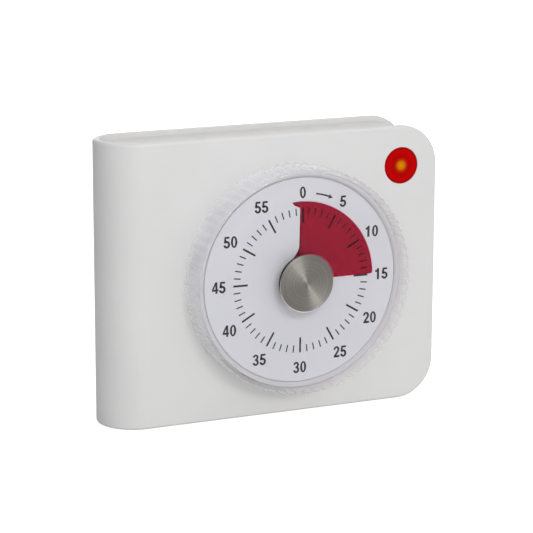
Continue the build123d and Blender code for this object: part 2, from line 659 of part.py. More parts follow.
def spindle():
    """Steel spindle: pivot, journal, collar for the clutch, clip groove, hexagon and tip."""
    pivot_end = MOVEMENT_BACK_INSIDE - PIVOT_DEPTH
    shoulder = MOVEMENT_BACK_INSIDE + FIT
    collar_low = -SECOND_LAYER - WHEEL_THICKNESS - RUNNING - 1
    collar_high = -SECOND_LAYER - RUNNING
    low, high = clip_span()
    shaft = cylinder(DIAL_X, DIAL_Z, SPINDLE_RADIUS, high, HEX_START)
    shaft += rod(DIAL_X, DIAL_Z, SPINDLE_RADIUS - CLIP_BITE, low, high)
    shaft += rod(DIAL_X, DIAL_Z, SPINDLE_RADIUS, shoulder, low, ROUND_COUNT)
    shaft += cylinder(DIAL_X, DIAL_Z, SPINDLE_PIVOT_RADIUS, pivot_end, shoulder)
    shaft += rod(DIAL_X, DIAL_Z, COLLAR_RADIUS, collar_low, collar_high)
    shaft += hexagon(0, HEX_START, COVER_HUB_LOW)
    return shaft + rod(DIAL_X, DIAL_Z, SPINDLE_TIP_RADIUS, COVER_HUB_LOW, CAP_SEAT)


def clip_span():
    """Heights of the retaining clip behind the movement's base plate."""
    high = MOVEMENT_FRONT_INSIDE - RUNNING
    return high - CLIP_THICKNESS, high


def spindle_clip():
    """Open spring clip that keeps the spindle from being pulled out."""
    low, high = clip_span()
    ring = RegularPolygon(SPINDLE_RADIUS + CLIP_REACH, ROUND_COUNT)
    ring -= RegularPolygon(SPINDLE_RADIUS - CLIP_BITE, FLAT_COUNT)
    mouth = Pos(SPINDLE_RADIUS, 0) * Rectangle(2 * SPINDLE_RADIUS, SPINDLE_RADIUS)
    return prism(Pos(DIAL_X, DIAL_Z) * (ring - mouth), low, high)


def spindle_bush():
    """Brass bush through the front plate and the drum, with a flange on the drum's floor."""
    top = DRUM_FLOOR_TOP + BUSH_FLANGE
    bush = rod(DIAL_X, DIAL_Z, BUSH_RADIUS, -WALL, DRUM_FLOOR_TOP, ROUND_COUNT)
    bush += rod(DIAL_X, DIAL_Z, BUSH_FLANGE_RADIUS, DRUM_FLOOR_TOP, top, ROUND_COUNT)
    return bush - cylinder(DIAL_X, DIAL_Z, SPINDLE_RADIUS + RUNNING, -WALL, top)


# ---------------------------------------------------------------- movement
def arbor_places():
    """Places of the third, second and rotor arbors, each one gear mesh from the last."""
    coarse = MODULE_COARSE * (CENTRE_TEETH + CENTRE_PINION_TEETH) / 2
    fine = MODULE_FINE * (WHEEL_TEETH + PINION_TEETH) / 2
    bearing = math.radians(ROTOR_BEARING)
    third = (DIAL_X - coarse, DIAL_Z)
    second = (third[0], third[1] + fine)
    rotor = (second[0] + fine * math.cos(bearing), second[1] + fine * math.sin(bearing))
    return third, second, rotor


def toothed(x, z, teeth, module, flank, first, low, high):
    """Toothed outline made solid: `flank` goes round one tooth as (offset, radius) pairs."""
    points = []
    for tooth in range(teeth):
        centre = math.radians(first) + 2 * math.pi * tooth / teeth
        for offset, radius in flank:
            angle = centre + offset / radius
            points.append((x + radius * math.cos(angle), z + radius * math.sin(angle)))
    return prism(make_face(Polyline(*points, close=True)), low, high)


def tooth_sizes(teeth, module):
    """Root, pitch and tip radius of a wheel, and half its tooth's width at the pitch circle."""
    pitch_radius = module * teeth / 2
    half_width = TOOTH_SHARE * math.pi * module / 4
    return (pitch_radius - DEDENDUM * module, pitch_radius, pitch_radius + ADDENDUM * module,
            half_width)


def wheel(x, z, teeth, module, facing, low, high):
    """Spoked clock wheel with a tooth in the given direction."""
    root, pitch_radius, tip, half = tooth_sizes(teeth, module)
    foot = WHEEL_ROOT_SHARE * half
    flank = [(-foot, root), (0, tip), (foot, root)]
    disc = toothed(x, z, teeth, module, flank, facing, low, high)
    for window in range(WINDOW_COUNT):
        turn = FULL_TURN * (window + 0.5) / WINDOW_COUNT
        angle = math.radians(turn)
        centre = Pos(x + WINDOW_PLACE * pitch_radius * math.cos(angle),
                     z + WINDOW_PLACE * pitch_radius * math.sin(angle))
        disc -= prism(centre * Rot(0, 0, turn - 45) * RegularPolygon(WINDOW_SIZE * pitch_radius, 6),
                      low, high)
    return disc


def pinion(x, z, teeth, module, facing, low, high):
    """Pinion with a gap between two leaves in the given direction."""
    root, pitch_radius, tip, half = tooth_sizes(teeth, module)
    foot, top = PINION_ROOT_SHARE * half, PINION_TIP_SHARE * half
    flank = [(-foot, root), (-half, pitch_radius), (-top, tip), (top, tip), (half, pitch_radius),
             (foot, root)]
    return toothed(x, z, teeth, module, flank, facing + FULL_TURN / (2 * teeth), low, high)


def arbor(x, z):
    """Plain arbor with two pivots, from the base plate to the cover."""
    shaft = rod(x, z, ARBOR_RADIUS, MOVEMENT_BACK_INSIDE + FIT, MOVEMENT_FRONT_INSIDE - FIT)
    return shaft + rod(x, z, PIVOT_RADIUS, MOVEMENT_BACK_INSIDE - PIVOT_DEPTH,
                       MOVEMENT_FRONT_INSIDE + PIVOT_DEPTH)


def centre_wheel():
    """Wheel that rides on the spindle and drives it through the clutch spring."""
    low, high = -CENTRE_LAYER - CENTRE_THICKNESS, -CENTRE_LAYER
    disc = wheel(DIAL_X, DIAL_Z, CENTRE_TEETH, MODULE_COARSE, 180, low, high)
    return disc - bore(DIAL_X, DIAL_Z, SPINDLE_RADIUS + RUNNING / 2, low, high, ROUND_COUNT)


def clutch_spring():
    """Cone spring between the centre wheel and the spindle's collar."""
    wheel_back = -CENTRE_LAYER - CENTRE_THICKNESS
    collar = -SECOND_LAYER - RUNNING
    inner, outer = SPINDLE_RADIUS + FIT, SPINDLE_RADIUS + WASHER_REACH
    cone = taper(DIAL_X, DIAL_Z, inner + WASHER_THICKNESS, outer, collar, wheel_back)
    return cone - taper(DIAL_X, DIAL_Z, inner, outer - WASHER_THICKNESS, collar, wheel_back)


def third_wheel():
    """Wheel and pinion next to the centre wheel."""
    (x, z), _, _ = arbor_places()
    disc = wheel(x, z, WHEEL_TEETH, MODULE_FINE, 90, -SECOND_LAYER - WHEEL_THICKNESS,
                 -SECOND_LAYER)
    leaves = pinion(x, z, CENTRE_PINION_TEETH, MODULE_COARSE, 0, -SECOND_LAYER,
                    -CENTRE_LAYER + FIT)
    return arbor(x, z) + disc + leaves


def second_wheel():
    """Wheel and pinion between the rotor and the third wheel."""
    _, (x, z), _ = arbor_places()
    disc = wheel(x, z, WHEEL_TEETH, MODULE_FINE, ROTOR_BEARING, -FIRST_LAYER - WHEEL_THICKNESS,
                 -FIRST_LAYER)
    leaves = pinion(x, z, PINION_TEETH, MODULE_FINE, 270, -FIRST_LAYER, -SECOND_LAYER + FIT)
    return arbor(x, z) + disc + leaves


def rotor_pinion():
    """Rotor arbor with its pinion."""
    _, _, (x, z) = arbor_places()
    return arbor(x, z) + pinion(x, z, PINION_TEETH, MODULE_FINE, ROTOR_BEARING + 180,
                                -FIRST_LAYER - WHEEL_THICKNESS - FIT, -FIRST_LAYER + FIT)


def rotor_span():
    """Heights of the rotor's magnet."""
    high = -FIRST_LAYER - WHEEL_THICKNESS - ROTOR_GAP
    return high - ROTOR_MAGNET_LENGTH, high


def rotor_magnet():
    """Round two-pole magnet of the stepping motor."""
    _, _, (x, z) = arbor_places()
    low, high = rotor_span()
    return rod(x, z, ROTOR_MAGNET_RADIUS, low, high, ROUND_COUNT) - bore(x, z, ARBOR_RADIUS, low, high)


def motor_places():
    """Left, right and core height of the motor's iron frame."""
    _, _, (x, z) = arbor_places()
    left = x - ROTOR_MAGNET_RADIUS - ROTOR_GAP - STATOR_LIMB
    right = DIAL_X + MOVEMENT_RIGHT - MOVEMENT_WALL - STATOR_SIDE_GAP
    core = (z - ROTOR_MAGNET_RADIUS - ROTOR_GAP + DIAL_Z + SPINDLE_RADIUS) / 2
    return left, right, core


def stator_span():
    """Heights of the stator plate, level with the rotor's magnet."""
    low, high = rotor_span()
    middle = (low + high) / 2
    return middle - STATOR_THICKNESS / 2, middle + STATOR_THICKNESS / 2


def stator():
    """Flat iron frame round the rotor, with limbs down to the coil's core."""
    _, _, (x, z) = arbor_places()
    left, right, core = motor_places()
    low, high = stator_span()
    hole = ROTOR_MAGNET_RADIUS + ROTOR_GAP
    plate = slab(left, right, core - CORE_WIDTH / 2, z + hole + STATOR_RIM, low, high)
    plate -= slab(left + STATOR_LIMB, right - STATOR_LIMB, core - CORE_WIDTH,
                  z - hole - STATOR_RIM, low, high)
    plate -= bore(x, z, hole, low, high, ROUND_COUNT)
    for side in (-1, 1):
        plate -= rod(x, z + side * hole, ROTOR_NOTCH, low, high)
    return plate


def coil_core():
    """Iron bar through the coil, lying on the ends of the stator's limbs."""
    left, right, core = motor_places()
    low, _ = stator_span()
    half = CORE_WIDTH / 2
    return slab(left, right, core - half, core + half, low - STATOR_THICKNESS, low)


def coil_axis():
    """Centre of the coil: X of its left end, height and Z of its axis."""
    left, right, core = motor_places()
    low, _ = stator_span()
    return (left + right - COIL_LENGTH) / 2, low - STATOR_THICKNESS / 2, core


def coil_bar(left, right, half):
    """Square bar round the coil's axis."""
    _, height, z = coil_axis()
    return slab(left, right, z - half, z + half, height - half, height + half)


def coil_bobbin():
    """Plastic spool with square flanges on the core."""
    start, height, z = coil_axis()
    end = start + COIL_LENGTH
    hole = CORE_WIDTH / 2 + RUNNING
    high = STATOR_THICKNESS / 2 + RUNNING
    spool = coil_bar(start, end, CORE_WIDTH / 2 + COIL_FLANGE)
    for left in (start, end - COIL_FLANGE):
        spool += coil_bar(left, left + COIL_FLANGE, COIL_RADIUS)
    return spool - slab(start, end, z - hole, z + hole, height - high, height + high)


def coil_winding():
    """Enamelled copper winding between the spool's flanges."""
    start, _, _ = coil_axis()
    left, right = start + COIL_FLANGE, start + COIL_LENGTH - COIL_FLANGE
    outer = coil_bar(left, right, COIL_RADIUS - COIL_FLANGE / 2)
    outer = chamfer(outer.edges().filter_by(Axis.X), COIL_RADIUS / 4)
    return outer - coil_bar(left, right, CORE_WIDTH / 2 + COIL_FLANGE)


def movement_sides():
    """Left, right, bottom and top of the movement's case."""
    return (DIAL_X - MOVEMENT_LEFT, DIAL_X + MOVEMENT_RIGHT, DIAL_Z - MOVEMENT_LOW,
            DIAL_Z + MOVEMENT_HIGH)


def lugs(low, high):
    """Three ears that reach from the case to the drum's screws."""
    left, right, _, _ = movement_sides()
    pieces = []
    for x, z in pillar_places():
        near = min(max(x, left), right)
        first, last = sorted((near - math.copysign(WALL, x - DIAL_X), x))
        pieces.append(slab(first, last, z - LUG_RADIUS, z + LUG_RADIUS, low, high))
        pieces.append(rod(x, z, LUG_RADIUS, low, high))
    return pieces


def movement_base():
    """Front plate of the movement, flat against the housing, with ears and bearing holes."""
    high = -WALL
    low = MOVEMENT_FRONT_INSIDE
    plate = slab(*movement_sides(), low, high)
    for ear in lugs(low, high):
        plate += ear
    for x, z in pillar_places():
        plate -= bore(x, z, SCREW_RADIUS + FIT, low, high)
    for x, z in arbor_places():
        plate -= bore(x, z, PIVOT_RADIUS + RUNNING, low, low + PIVOT_DEPTH + RUNNING)
    return plate - cylinder(DIAL_X, DIAL_Z, SPINDLE_RADIUS + RUNNING, low, high)


def stator_posts():
    """Places of the two posts that carry the stator."""
    left, right, _ = motor_places()
    _, _, (_, z) = arbor_places()
    level = z + STATOR_LIMB / 2
    return (left + STATOR_LIMB / 2, level), (right - STATOR_LIMB / 2, level)


def movement_cover():
    """Back cup of the movement with bearing holes and the stator's posts."""
    left, right, bottom, top = movement_sides()
    wall, inner = MOVEMENT_WALL, MOVEMENT_BACK_INSIDE
    cup = slab(left, right, bottom, top, -MOVEMENT_BACK, MOVEMENT_FRONT_INSIDE)
    cup = chamfer(cup.edges().filter_by(Axis.Y), wall / 2)
    cup -= slab(left + wall, right - wall, bottom + wall, top - wall, inner, MOVEMENT_FRONT_INSIDE)
    stator_low, _ = stator_span()
    for x, z in stator_posts():
        cup += rod(x, z, STATOR_POST_RADIUS, inner, stator_low)
    bearing = inner - PIVOT_DEPTH - RUNNING
    for x, z in arbor_places():
        cup -= bore(x, z, PIVOT_RADIUS + RUNNING, bearing, inner)
    return cup - bore(DIAL_X, DIAL_Z, SPINDLE_PIVOT_RADIUS + RUNNING, bearing, inner, ROUND_COUNT)


def movement_screws():
    """Three screws through the ears and the front plate into the drum's pillars."""
    length = WALL + MOVEMENT_PLATE + SMALL_SCREW_LENGTH
    return group([screw(x, z, MOVEMENT_FRONT_INSIDE, length) for x, z in pillar_places()])


# ---------------------------------------------------------------- lamp, board and switch
def led_lens():
    """Red lens set flush in the front plate, with a flange behind it."""
    lens = rod(LENS_X, LENS_Z, LENS_RADIUS, -WALL, 0, ROUND_COUNT)
    return lens + rod(LENS_X, LENS_Z, LENS_RADIUS + LENS_FLANGE, -LENS_THICKNESS, -WALL, ROUND_COUNT)


def led():
    """Round lamp with a domed tip and a rim at its foot."""
    foot = LED_TIP - LED_LENGTH
    lamp = rod(LENS_X, LENS_Z, LED_RADIUS + LED_RIM, foot, foot + 1)
    lamp += rod(LENS_X, LENS_Z, LED_RADIUS, foot + 1, LED_TIP - LED_DOME)
    return lamp + taper(LENS_X, LENS_Z, LED_RADIUS, LED_RADIUS / 2, LED_TIP - LED_DOME, LED_TIP)


def led_spacer():
    """Tube that holds the lamp at its distance from the board."""
    low, high = BOARD_FRONT, LED_TIP - LED_LENGTH
    return (rod(LENS_X, LENS_Z, LED_RADIUS + LED_RIM, low, high)
            - rod(LENS_X, LENS_Z, LED_RADIUS / 2, low, high))


def board_screw_places():
    """Centres of the board's two screws."""
    inset = BOARD_SCREW_INSET
    return (BOARD_LEFT + inset, BOARD_HIGH - inset), (BOARD_RIGHT - 3 * inset, BOARD_LOW + inset)


def main_board():
    """Circuit board along the top of the housing, cut round the corner."""
    board = slab(BOARD_LEFT, BOARD_RIGHT, BOARD_LOW, BOARD_HIGH, BOARD_BACK, BOARD_FRONT)
    board -= rod(RIGHT_X, BODY_HEIGHT, CORNER_RADIUS + WAIST_DEPTH, BOARD_BACK, BOARD_FRONT,
                 ROUND_COUNT)
    for x, z in board_screw_places():
        board -= bore(x, z, SCREW_RADIUS + FIT, BOARD_BACK, BOARD_FRONT)
    return board


def board_screws():
    """Two screws from the front of the board into the back shell's posts."""
    return group([screw(x, z, BOARD_FRONT, SMALL_SCREW_LENGTH, -1) for x, z in board_screw_places()])


def control_chip():
    """Controller with two rows of legs."""
    foot = BOARD_FRONT + CHIP_LIFT
    chip = block(CHIP_X, BOARD_MIDDLE, CHIP_LENGTH, CHIP_WIDTH, foot, foot + CHIP_HEIGHT)
    for leg in range(LEG_COUNT):
        x = CHIP_X + LEG_PITCH * (leg - (LEG_COUNT - 1) / 2)
        chip += block(x, BOARD_MIDDLE, LEG_WIDTH, LEG_SPAN, BOARD_FRONT, foot + CHIP_LIFT)
    return chip


def crystal():
    """Can of the clock crystal."""
    can = block(CRYSTAL_X, BOARD_MIDDLE + CRYSTAL_RISE, CRYSTAL_LENGTH, CRYSTAL_WIDTH, BOARD_FRONT,
                BOARD_FRONT + CRYSTAL_HEIGHT)
    return chamfer(can.edges().filter_by(Axis.Y), CRYSTAL_WIDTH / 4)


def capacitor():
    """Round electrolytic capacitor standing on the board."""
    return rod(CAPACITOR_X, BOARD_MIDDLE - CAPACITOR_DROP, CAPACITOR_RADIUS, BOARD_FRONT,
               BOARD_FRONT + CAPACITOR_HEIGHT, ROUND_COUNT)


def buzzer():
    """Round buzzer behind the grille with its sound hole."""
    low = BOARD_BACK - BUZZER_HEIGHT
    can = rod(BUZZER_X, BOARD_MIDDLE, BUZZER_RADIUS, low, BOARD_BACK, ROUND_COUNT)
    return can - rod(BUZZER_X, BOARD_MIDDLE, BUZZER_HOLE, low, low + 1)


def slide_switch():
    """Case of the sound switch with the slot its stem slides in."""
    low = BOARD_BACK - SWITCH_BODY
    case = block(SWITCH_X, BOARD_MIDDLE, SWITCH_WIDTH, SWITCH_TALL, low, BOARD_BACK)
    return case - block(SWITCH_X, BOARD_MIDDLE, KNOB_STEM + 2 * (SWITCH_TRAVEL + KNOB_GAP),
                        KNOB_STEM + 2 * KNOB_GAP, low, BOARD_BACK - SWITCH_FLOOR)


def switch_knob():
    """Knob of the sound switch: stem and grooved cap, level with the back."""
    low = -BODY_DEPTH + FIT
    stem_end = BOARD_BACK - SWITCH_FLOOR - KNOB_GAP
    knob = block(SWITCH_X, BOARD_MIDDLE, KNOB_STEM, KNOB_STEM, low + KNOB_CAP, stem_end)
    knob += block(SWITCH_X, BOARD_MIDDLE, KNOB_WIDTH, KNOB_TALL, low, low + KNOB_CAP)
    for step in (-1, 0, 1):
        knob -= block(SWITCH_X + KNOB_GROOVE_PITCH * step, BOARD_MIDDLE, KNOB_GROOVE, KNOB_TALL,
                      low, low + KNOB_GROOVE_DEPTH)
    return knob


# ---------------------------------------------------------------- battery bay
def battery_tray():
    """Open box for the cells behind the door, with two cradle ribs."""
    wall = TRAY_WALL
    tray = slab(TRAY_LEFT - wall, TRAY_RIGHT + wall, TRAY_LOW - wall, TRAY_HIGH + wall,
                BACK_INSIDE, TRAY_FLOOR + wall)
    tray -= slab(TRAY_LEFT, TRAY_RIGHT, TRAY_LOW, TRAY_HIGH, BACK_INSIDE, TRAY_FLOOR)
    for share in CRADLE_SHARES:
        x = TRAY_LEFT + TRAY_LENGTH * share
        rib = slab(x - wall / 2, x + wall / 2, TRAY_LOW, TRAY_HIGH, TRAY_FLOOR - CELL_RADIUS / 2,
                   TRAY_FLOOR)
        for z in (CELL_LOWER_Z, CELL_UPPER_Z):
            rib -= bar_along_x(x - wall, x + wall, CELL_HEIGHT, z, CELL_RADIUS + CELL_GAP / 2,
                               ROUND_COUNT)
        tray += rib
    return tray


def battery_cell(direction, z):
    """AA cell that points right (1) or left (-1)."""
    positive = TRAY_RIGHT - CONTACT if direction > 0 else TRAY_LEFT + CONTACT
    shoulder = positive - direction * CELL_NUB
    back = shoulder - direction * CELL_LENGTH
    can = bar_along_x(*sorted((shoulder, back)), CELL_HEIGHT, z, CELL_RADIUS, ROUND_COUNT)
    return can + bar_along_x(*sorted((shoulder, positive)), CELL_HEIGHT, z, CELL_NUB_RADIUS)


def cell_upper():
    """Upper cell, with its positive end at the right."""
    return battery_cell(1, CELL_UPPER_Z)


def cell_lower():
    """Lower cell, with its positive end at the left."""
    return battery_cell(-1, CELL_LOWER_Z)


def contact_plate(at_right, z):
    """Thin contact plate at one end of a cell."""
    left = TRAY_RIGHT - CONTACT if at_right else TRAY_LEFT
    half = CELL_RADIUS * CONTACT_SHARE
    return slab(left, left + CONTACT, z - half, z + half, CELL_HEIGHT - half, CELL_HEIGHT + half)


def positive_contacts():
    """The two flat contacts at the cells' caps."""
    return group([contact_plate(True, CELL_UPPER_Z), contact_plate(False, CELL_LOWER_Z)])


def negative_contacts():
    """The two contact plates that carry the springs."""
    return group([contact_plate(False, CELL_UPPER_Z), contact_plate(True, CELL_LOWER_Z)])


def cell_spring(direction, z):
    """Tapered spring from its contact plate to the cell, drawn as stepped rings."""
    plate = TRAY_LEFT + CONTACT if direction > 0 else TRAY_RIGHT - CONTACT
    length = SPRING_LENGTH / SPRING_TURN_COUNT
    rings = []
    for turn in range(SPRING_TURN_COUNT):
        share = (turn + 0.5) / SPRING_TURN_COUNT
        radius = SPRING_RADIUS + (SPRING_TIP_RADIUS - SPRING_RADIUS) * share
        ends = sorted((plate + direction * length * turn, plate + direction * length * (turn + 1)))
        rings.append(bar_along_x(*ends, CELL_HEIGHT, z, radius)
                     - bar_along_x(*ends, CELL_HEIGHT, z, radius - SPRING_WIRE))
    return sum(rings[1:], start=rings[0])


def cell_springs():
    """The two tapered springs."""
    return group([cell_spring(1, CELL_UPPER_Z), cell_spring(-1, CELL_LOWER_Z)])


def hinge_axis():
    """Height and Z of the battery door's hinge axis."""
    _, _, _, top = door_opening(DOOR_GAP)
    return DOOR_INSIDE - HINGE_INSET, top - (DOOR_THICKNESS - HINGE_INSET)


def hinge_pin(side, spare=0.0):
    """Stub pin at one end of the door's top edge, or its socket when `spare` is given."""
    left, right, _, _ = door_opening(DOOR_GAP)
    edge = right if side > 0 else left
    start, end = sorted((edge - side * HINGE_PIN_LENGTH / 2, edge + side * HINGE_PIN_LENGTH))
    return along_x(start - spare, end + spare, *hinge_axis(), HINGE_PIN_RADIUS + spare)


def battery_door():
    """Flush door over the cells: round top edge with stub pins, spring tab and thumb notch."""
    left, right, bottom, top = door_opening(DOOR_GAP)
    height, z = hinge_axis()
    door = slab(left, right, bottom, z, DOOR_OUTSIDE, DOOR_INSIDE)
    door += along_x(left, right, height, z, DOOR_THICKNESS - HINGE_INSET) \
        & slab(left, right, z, top, DOOR_OUTSIDE, DOOR_INSIDE)
    for side in (-1, 1):
        door += hinge_pin(side)
    middle = (left + right) / 2
    for side in (-1, 1):
        x = middle + side * LATCH_WIDTH / 2
        door -= slab(x - LATCH_SLIT / 2, x + LATCH_SLIT / 2, bottom, bottom + LATCH_LENGTH,
                     DOOR_OUTSIDE, DOOR_INSIDE)
    return door - block(middle, bottom + LATCH_LENGTH / 2, THUMB_WIDTH, THUMB_TALL, DOOR_OUTSIDE,
                        DOOR_OUTSIDE + THUMB_DEPTH)


# ---------------------------------------------------------------- all pieces
PIECES = (
    front_shell, back_shell, waist_band, housing_screws, dial_drum, dial_plate, spindle_bush,
    red_disc, clear_cover, cap_disc, cover_hub, spindle, spindle_clip, centre_wheel, clutch_spring,
    third_wheel, second_wheel, rotor_magnet, rotor_pinion, stator, coil_core, coil_bobbin,
    coil_winding, movement_base, movement_cover, movement_screws, led_lens, led, led_spacer,
    main_board, board_screws, control_chip, crystal, capacitor, buzzer, slide_switch, switch_knob,
    battery_tray, cell_upper, cell_lower, positive_contacts, negative_contacts, cell_springs,
    battery_door,
)


def main():
    """Build every piece and write one STEP file for each, named as its function."""
    os.makedirs("parts", exist_ok=True)
    for make in PIECES:
        export_step(make(), "parts/" + make.__name__ + ".step")


main()
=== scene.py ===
import json
import logging
import math
from dataclasses import dataclass
from enum import Enum
from typing import Sequence

import bmesh
import bpy
from mathutils import Matrix, Vector
from mathutils.geometry import tessellate_polygon


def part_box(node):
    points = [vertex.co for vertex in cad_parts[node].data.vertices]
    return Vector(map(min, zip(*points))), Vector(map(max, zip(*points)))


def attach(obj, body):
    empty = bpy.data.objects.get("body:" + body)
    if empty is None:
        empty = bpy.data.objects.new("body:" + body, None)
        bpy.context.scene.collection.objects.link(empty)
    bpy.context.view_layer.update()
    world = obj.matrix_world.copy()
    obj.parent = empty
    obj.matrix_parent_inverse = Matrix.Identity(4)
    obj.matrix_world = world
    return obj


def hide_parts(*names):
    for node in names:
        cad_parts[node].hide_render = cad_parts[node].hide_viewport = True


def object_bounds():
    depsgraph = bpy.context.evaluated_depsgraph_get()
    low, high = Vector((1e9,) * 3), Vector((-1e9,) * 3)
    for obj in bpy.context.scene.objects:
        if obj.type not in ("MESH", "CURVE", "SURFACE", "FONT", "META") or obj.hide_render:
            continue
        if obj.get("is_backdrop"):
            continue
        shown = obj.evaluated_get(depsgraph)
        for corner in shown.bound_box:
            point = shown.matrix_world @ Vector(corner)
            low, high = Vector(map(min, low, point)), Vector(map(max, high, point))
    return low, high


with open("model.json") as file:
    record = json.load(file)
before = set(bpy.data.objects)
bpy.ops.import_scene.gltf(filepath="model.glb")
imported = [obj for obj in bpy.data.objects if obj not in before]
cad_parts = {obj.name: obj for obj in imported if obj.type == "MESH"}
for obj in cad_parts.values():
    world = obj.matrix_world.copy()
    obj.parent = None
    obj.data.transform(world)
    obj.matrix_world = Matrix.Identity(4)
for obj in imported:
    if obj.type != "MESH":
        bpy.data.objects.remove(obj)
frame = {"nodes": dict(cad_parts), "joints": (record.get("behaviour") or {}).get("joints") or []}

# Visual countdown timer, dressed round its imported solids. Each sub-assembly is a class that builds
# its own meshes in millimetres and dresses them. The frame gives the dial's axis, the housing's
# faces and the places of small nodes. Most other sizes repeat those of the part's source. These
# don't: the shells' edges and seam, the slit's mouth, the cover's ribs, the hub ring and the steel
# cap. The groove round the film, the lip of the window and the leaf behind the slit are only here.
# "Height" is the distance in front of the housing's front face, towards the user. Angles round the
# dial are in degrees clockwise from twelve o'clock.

MM = 0.001
FULL_TURN = 360.0
DEGREES_PER_MINUTE = 6.0
MERGE_DISTANCE = 1e-7  # metres between points that count as one
LEAST_EDGE = 1e-8  # metres
LEAST_CORNER = 0.02  # millimetres
SCHLICK_POWER = 5.0
LOG = logging.getLogger("timer")

Point = tuple[float, float, float]
Flat = tuple[float, float]
Colour = tuple[float, float, float]
Outline = tuple[list[Flat], list[list[Flat]]]  # with its holes
Material = bpy.types.Material
Socket = bpy.types.NodeSocket


class Body(Enum):
    """Bodies of the frame that pieces ride on."""

    HOUSING = "housing"
    COVER = "setting_cover"
    RED_FILM = "red_film"


def linear(colour: Colour) -> tuple[float, float, float, float]:
    """Turns a screen colour from 0 to 255 into the linear colour that shaders take.

    Args:
        colour: Red, green and blue from 0 to 255.

    Returns:
        Linear red, green, blue and an alpha of one.
    """
    low, knee, lift, power = 12.92, 0.04045, 0.055, 2.4
    shares = [channel / 255 for channel in colour]
    values = [s / low if s <= knee else ((s + lift) / (1 + lift)) ** power for s in shares]
    return (values[0], values[1], values[2], 1.0)


def shade(colour: Colour, factor: float) -> Colour:
    """Screen colour made darker or lighter by a factor."""
    return tuple(min(channel * factor, 255.0) for channel in colour)


def smooth_step(share: float) -> float:
    """Share from 0 to 1 that starts and ends gently."""
    share = min(max(share, 0.0), 1.0)
    return share * share * (3 - 2 * share)


def box_of(node: str) -> tuple[Vector, Vector]:
    """Lowest and highest corner of a node, in millimetres."""
    low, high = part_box(node)
    return low / MM, high / MM


def centre_of(node: str) -> Flat:
    """X and Z of a node's middle, in millimetres."""
    low, high = box_of(node)
    return (low.x + high.x) / 2, (low.z + high.z) / 2


@dataclass(frozen=True)
class Datum:
    """Places that the sub-assemblies share, in millimetres."""

    dial_x: float
    dial_z: float
    front: float
    back: float
    left: float
    right: float
    top: float

    @classmethod
    def read(cls) -> "Datum":
        """Reads the shared places from the frame.

        Returns:
            The places of the dial's axis and of the housing's faces.
        """
        turn = next(joint for joint in frame["joints"] if joint["name"] == "dial_turn")
        axis = turn["pos_m"]
        shell_low, _ = box_of("front_shell")
        _, back_high = box_of("back_shell")
        return cls(axis[0] / MM, axis[2] / MM, shell_low.y, back_high.y, shell_low.x,
                   back_high.x, back_high.z)

    def y_at(self, height: float) -> float:
        """Y of the plane that lies `height` in front of the front face."""
        return self.front - height

    def on_dial(self, radius: float, angle: float, height: float) -> Point:
        """Point at a radius and clock angle round the dial's axis."""
        turn = math.radians(angle)
        return (self.dial_x + radius * math.sin(turn), self.y_at(height),
                self.dial_z + radius * math.cos(turn))


# ---------------------------------------------------------------- shapes and skins
def even(start: float, end: float, count: int) -> list[float]:
    """Values from start to end in even steps."""
    return [start + (end - start) * step / count for step in range(count + 1)]


def arc(x: float, z: float, across: float, up: float, start: float, end: float,
        count: int = 14) -> list[Flat]:
    """Points on an ellipse between two angles, counted from +X towards +Z."""
    angles = [math.radians(angle) for angle in even(start, end, count)]
    return [(x + across * math.cos(a), z + up * math.sin(a)) for a in angles]


def circle(x: float, z: float, radius: float, count: int) -> list[Flat]:
    """Points round a circle."""
    return arc(x, z, radius, radius, 0.0, FULL_TURN, count)[:-1]


@dataclass(frozen=True)
class Round:
    """Circle in X and Z."""

    x: float
    z: float
    radius: float
    count: int = 48

    def points(self, grow: float = 0.0) -> list[Flat]:
        """Points round the circle, made larger by `grow`."""
        return circle(self.x, self.z, self.radius + grow, self.count)


@dataclass(frozen=True)
class Slab:
    """Rectangle in X and Z with round corners."""

    left: float
    right: float
    bottom: float
    top: float
    radius: float
    steps: int = 6

    def points(self, grow: float = 0.0) -> list[Flat]:
        """Points round the outline, made larger by `grow`."""
        radius = max(self.radius + grow, LEAST_CORNER)
        left, right = self.left - grow + radius, self.right + grow - radius
        bottom, top = self.bottom - grow + radius, self.top + grow - radius
        outline: list[Flat] = []
        for start, x, z in ((0, right, top), (90, left, top), (180, left, bottom),
                            (270, right, bottom)):
            outline += arc(x, z, radius, radius, start, start + 90, self.steps)
        return outline


Shape = Round | Slab
Step = tuple[Shape, float, float]  # shape, growth and depth


def quarter(radius: float, steps: int = 5) -> list[Flat]:
    """Depth and inset of the points round an outside edge of this radius."""
    return [(radius * (1 - math.cos(a)), radius * (1 - math.sin(a)))
            for a in even(0.0, math.pi / 2, steps)]


def rounded(radius: float, top: float, edge: float, steps: int) -> list[Flat]:
    """Radius and height of the points round a disc's top edge, from below."""
    return [(radius - inset, top - depth) for depth, inset in reversed(quarter(edge, steps))]


def rim_profile(thickness: float, outer: float, inner: float) -> list[Flat]:
    """Depth and inset over the rim of a wall, from its outside face to its inside face.

    Args:
        thickness: Thickness of the wall.
        outer: Radius of the outside edge.
        inner: Radius of the inside edge.

    Returns:
        Depth below the outside face and inset from the outline, point by point.
    """
    inside = [(thickness - depth, inset) for depth, inset in reversed(quarter(inner, 3))]
    return quarter(outer) + inside


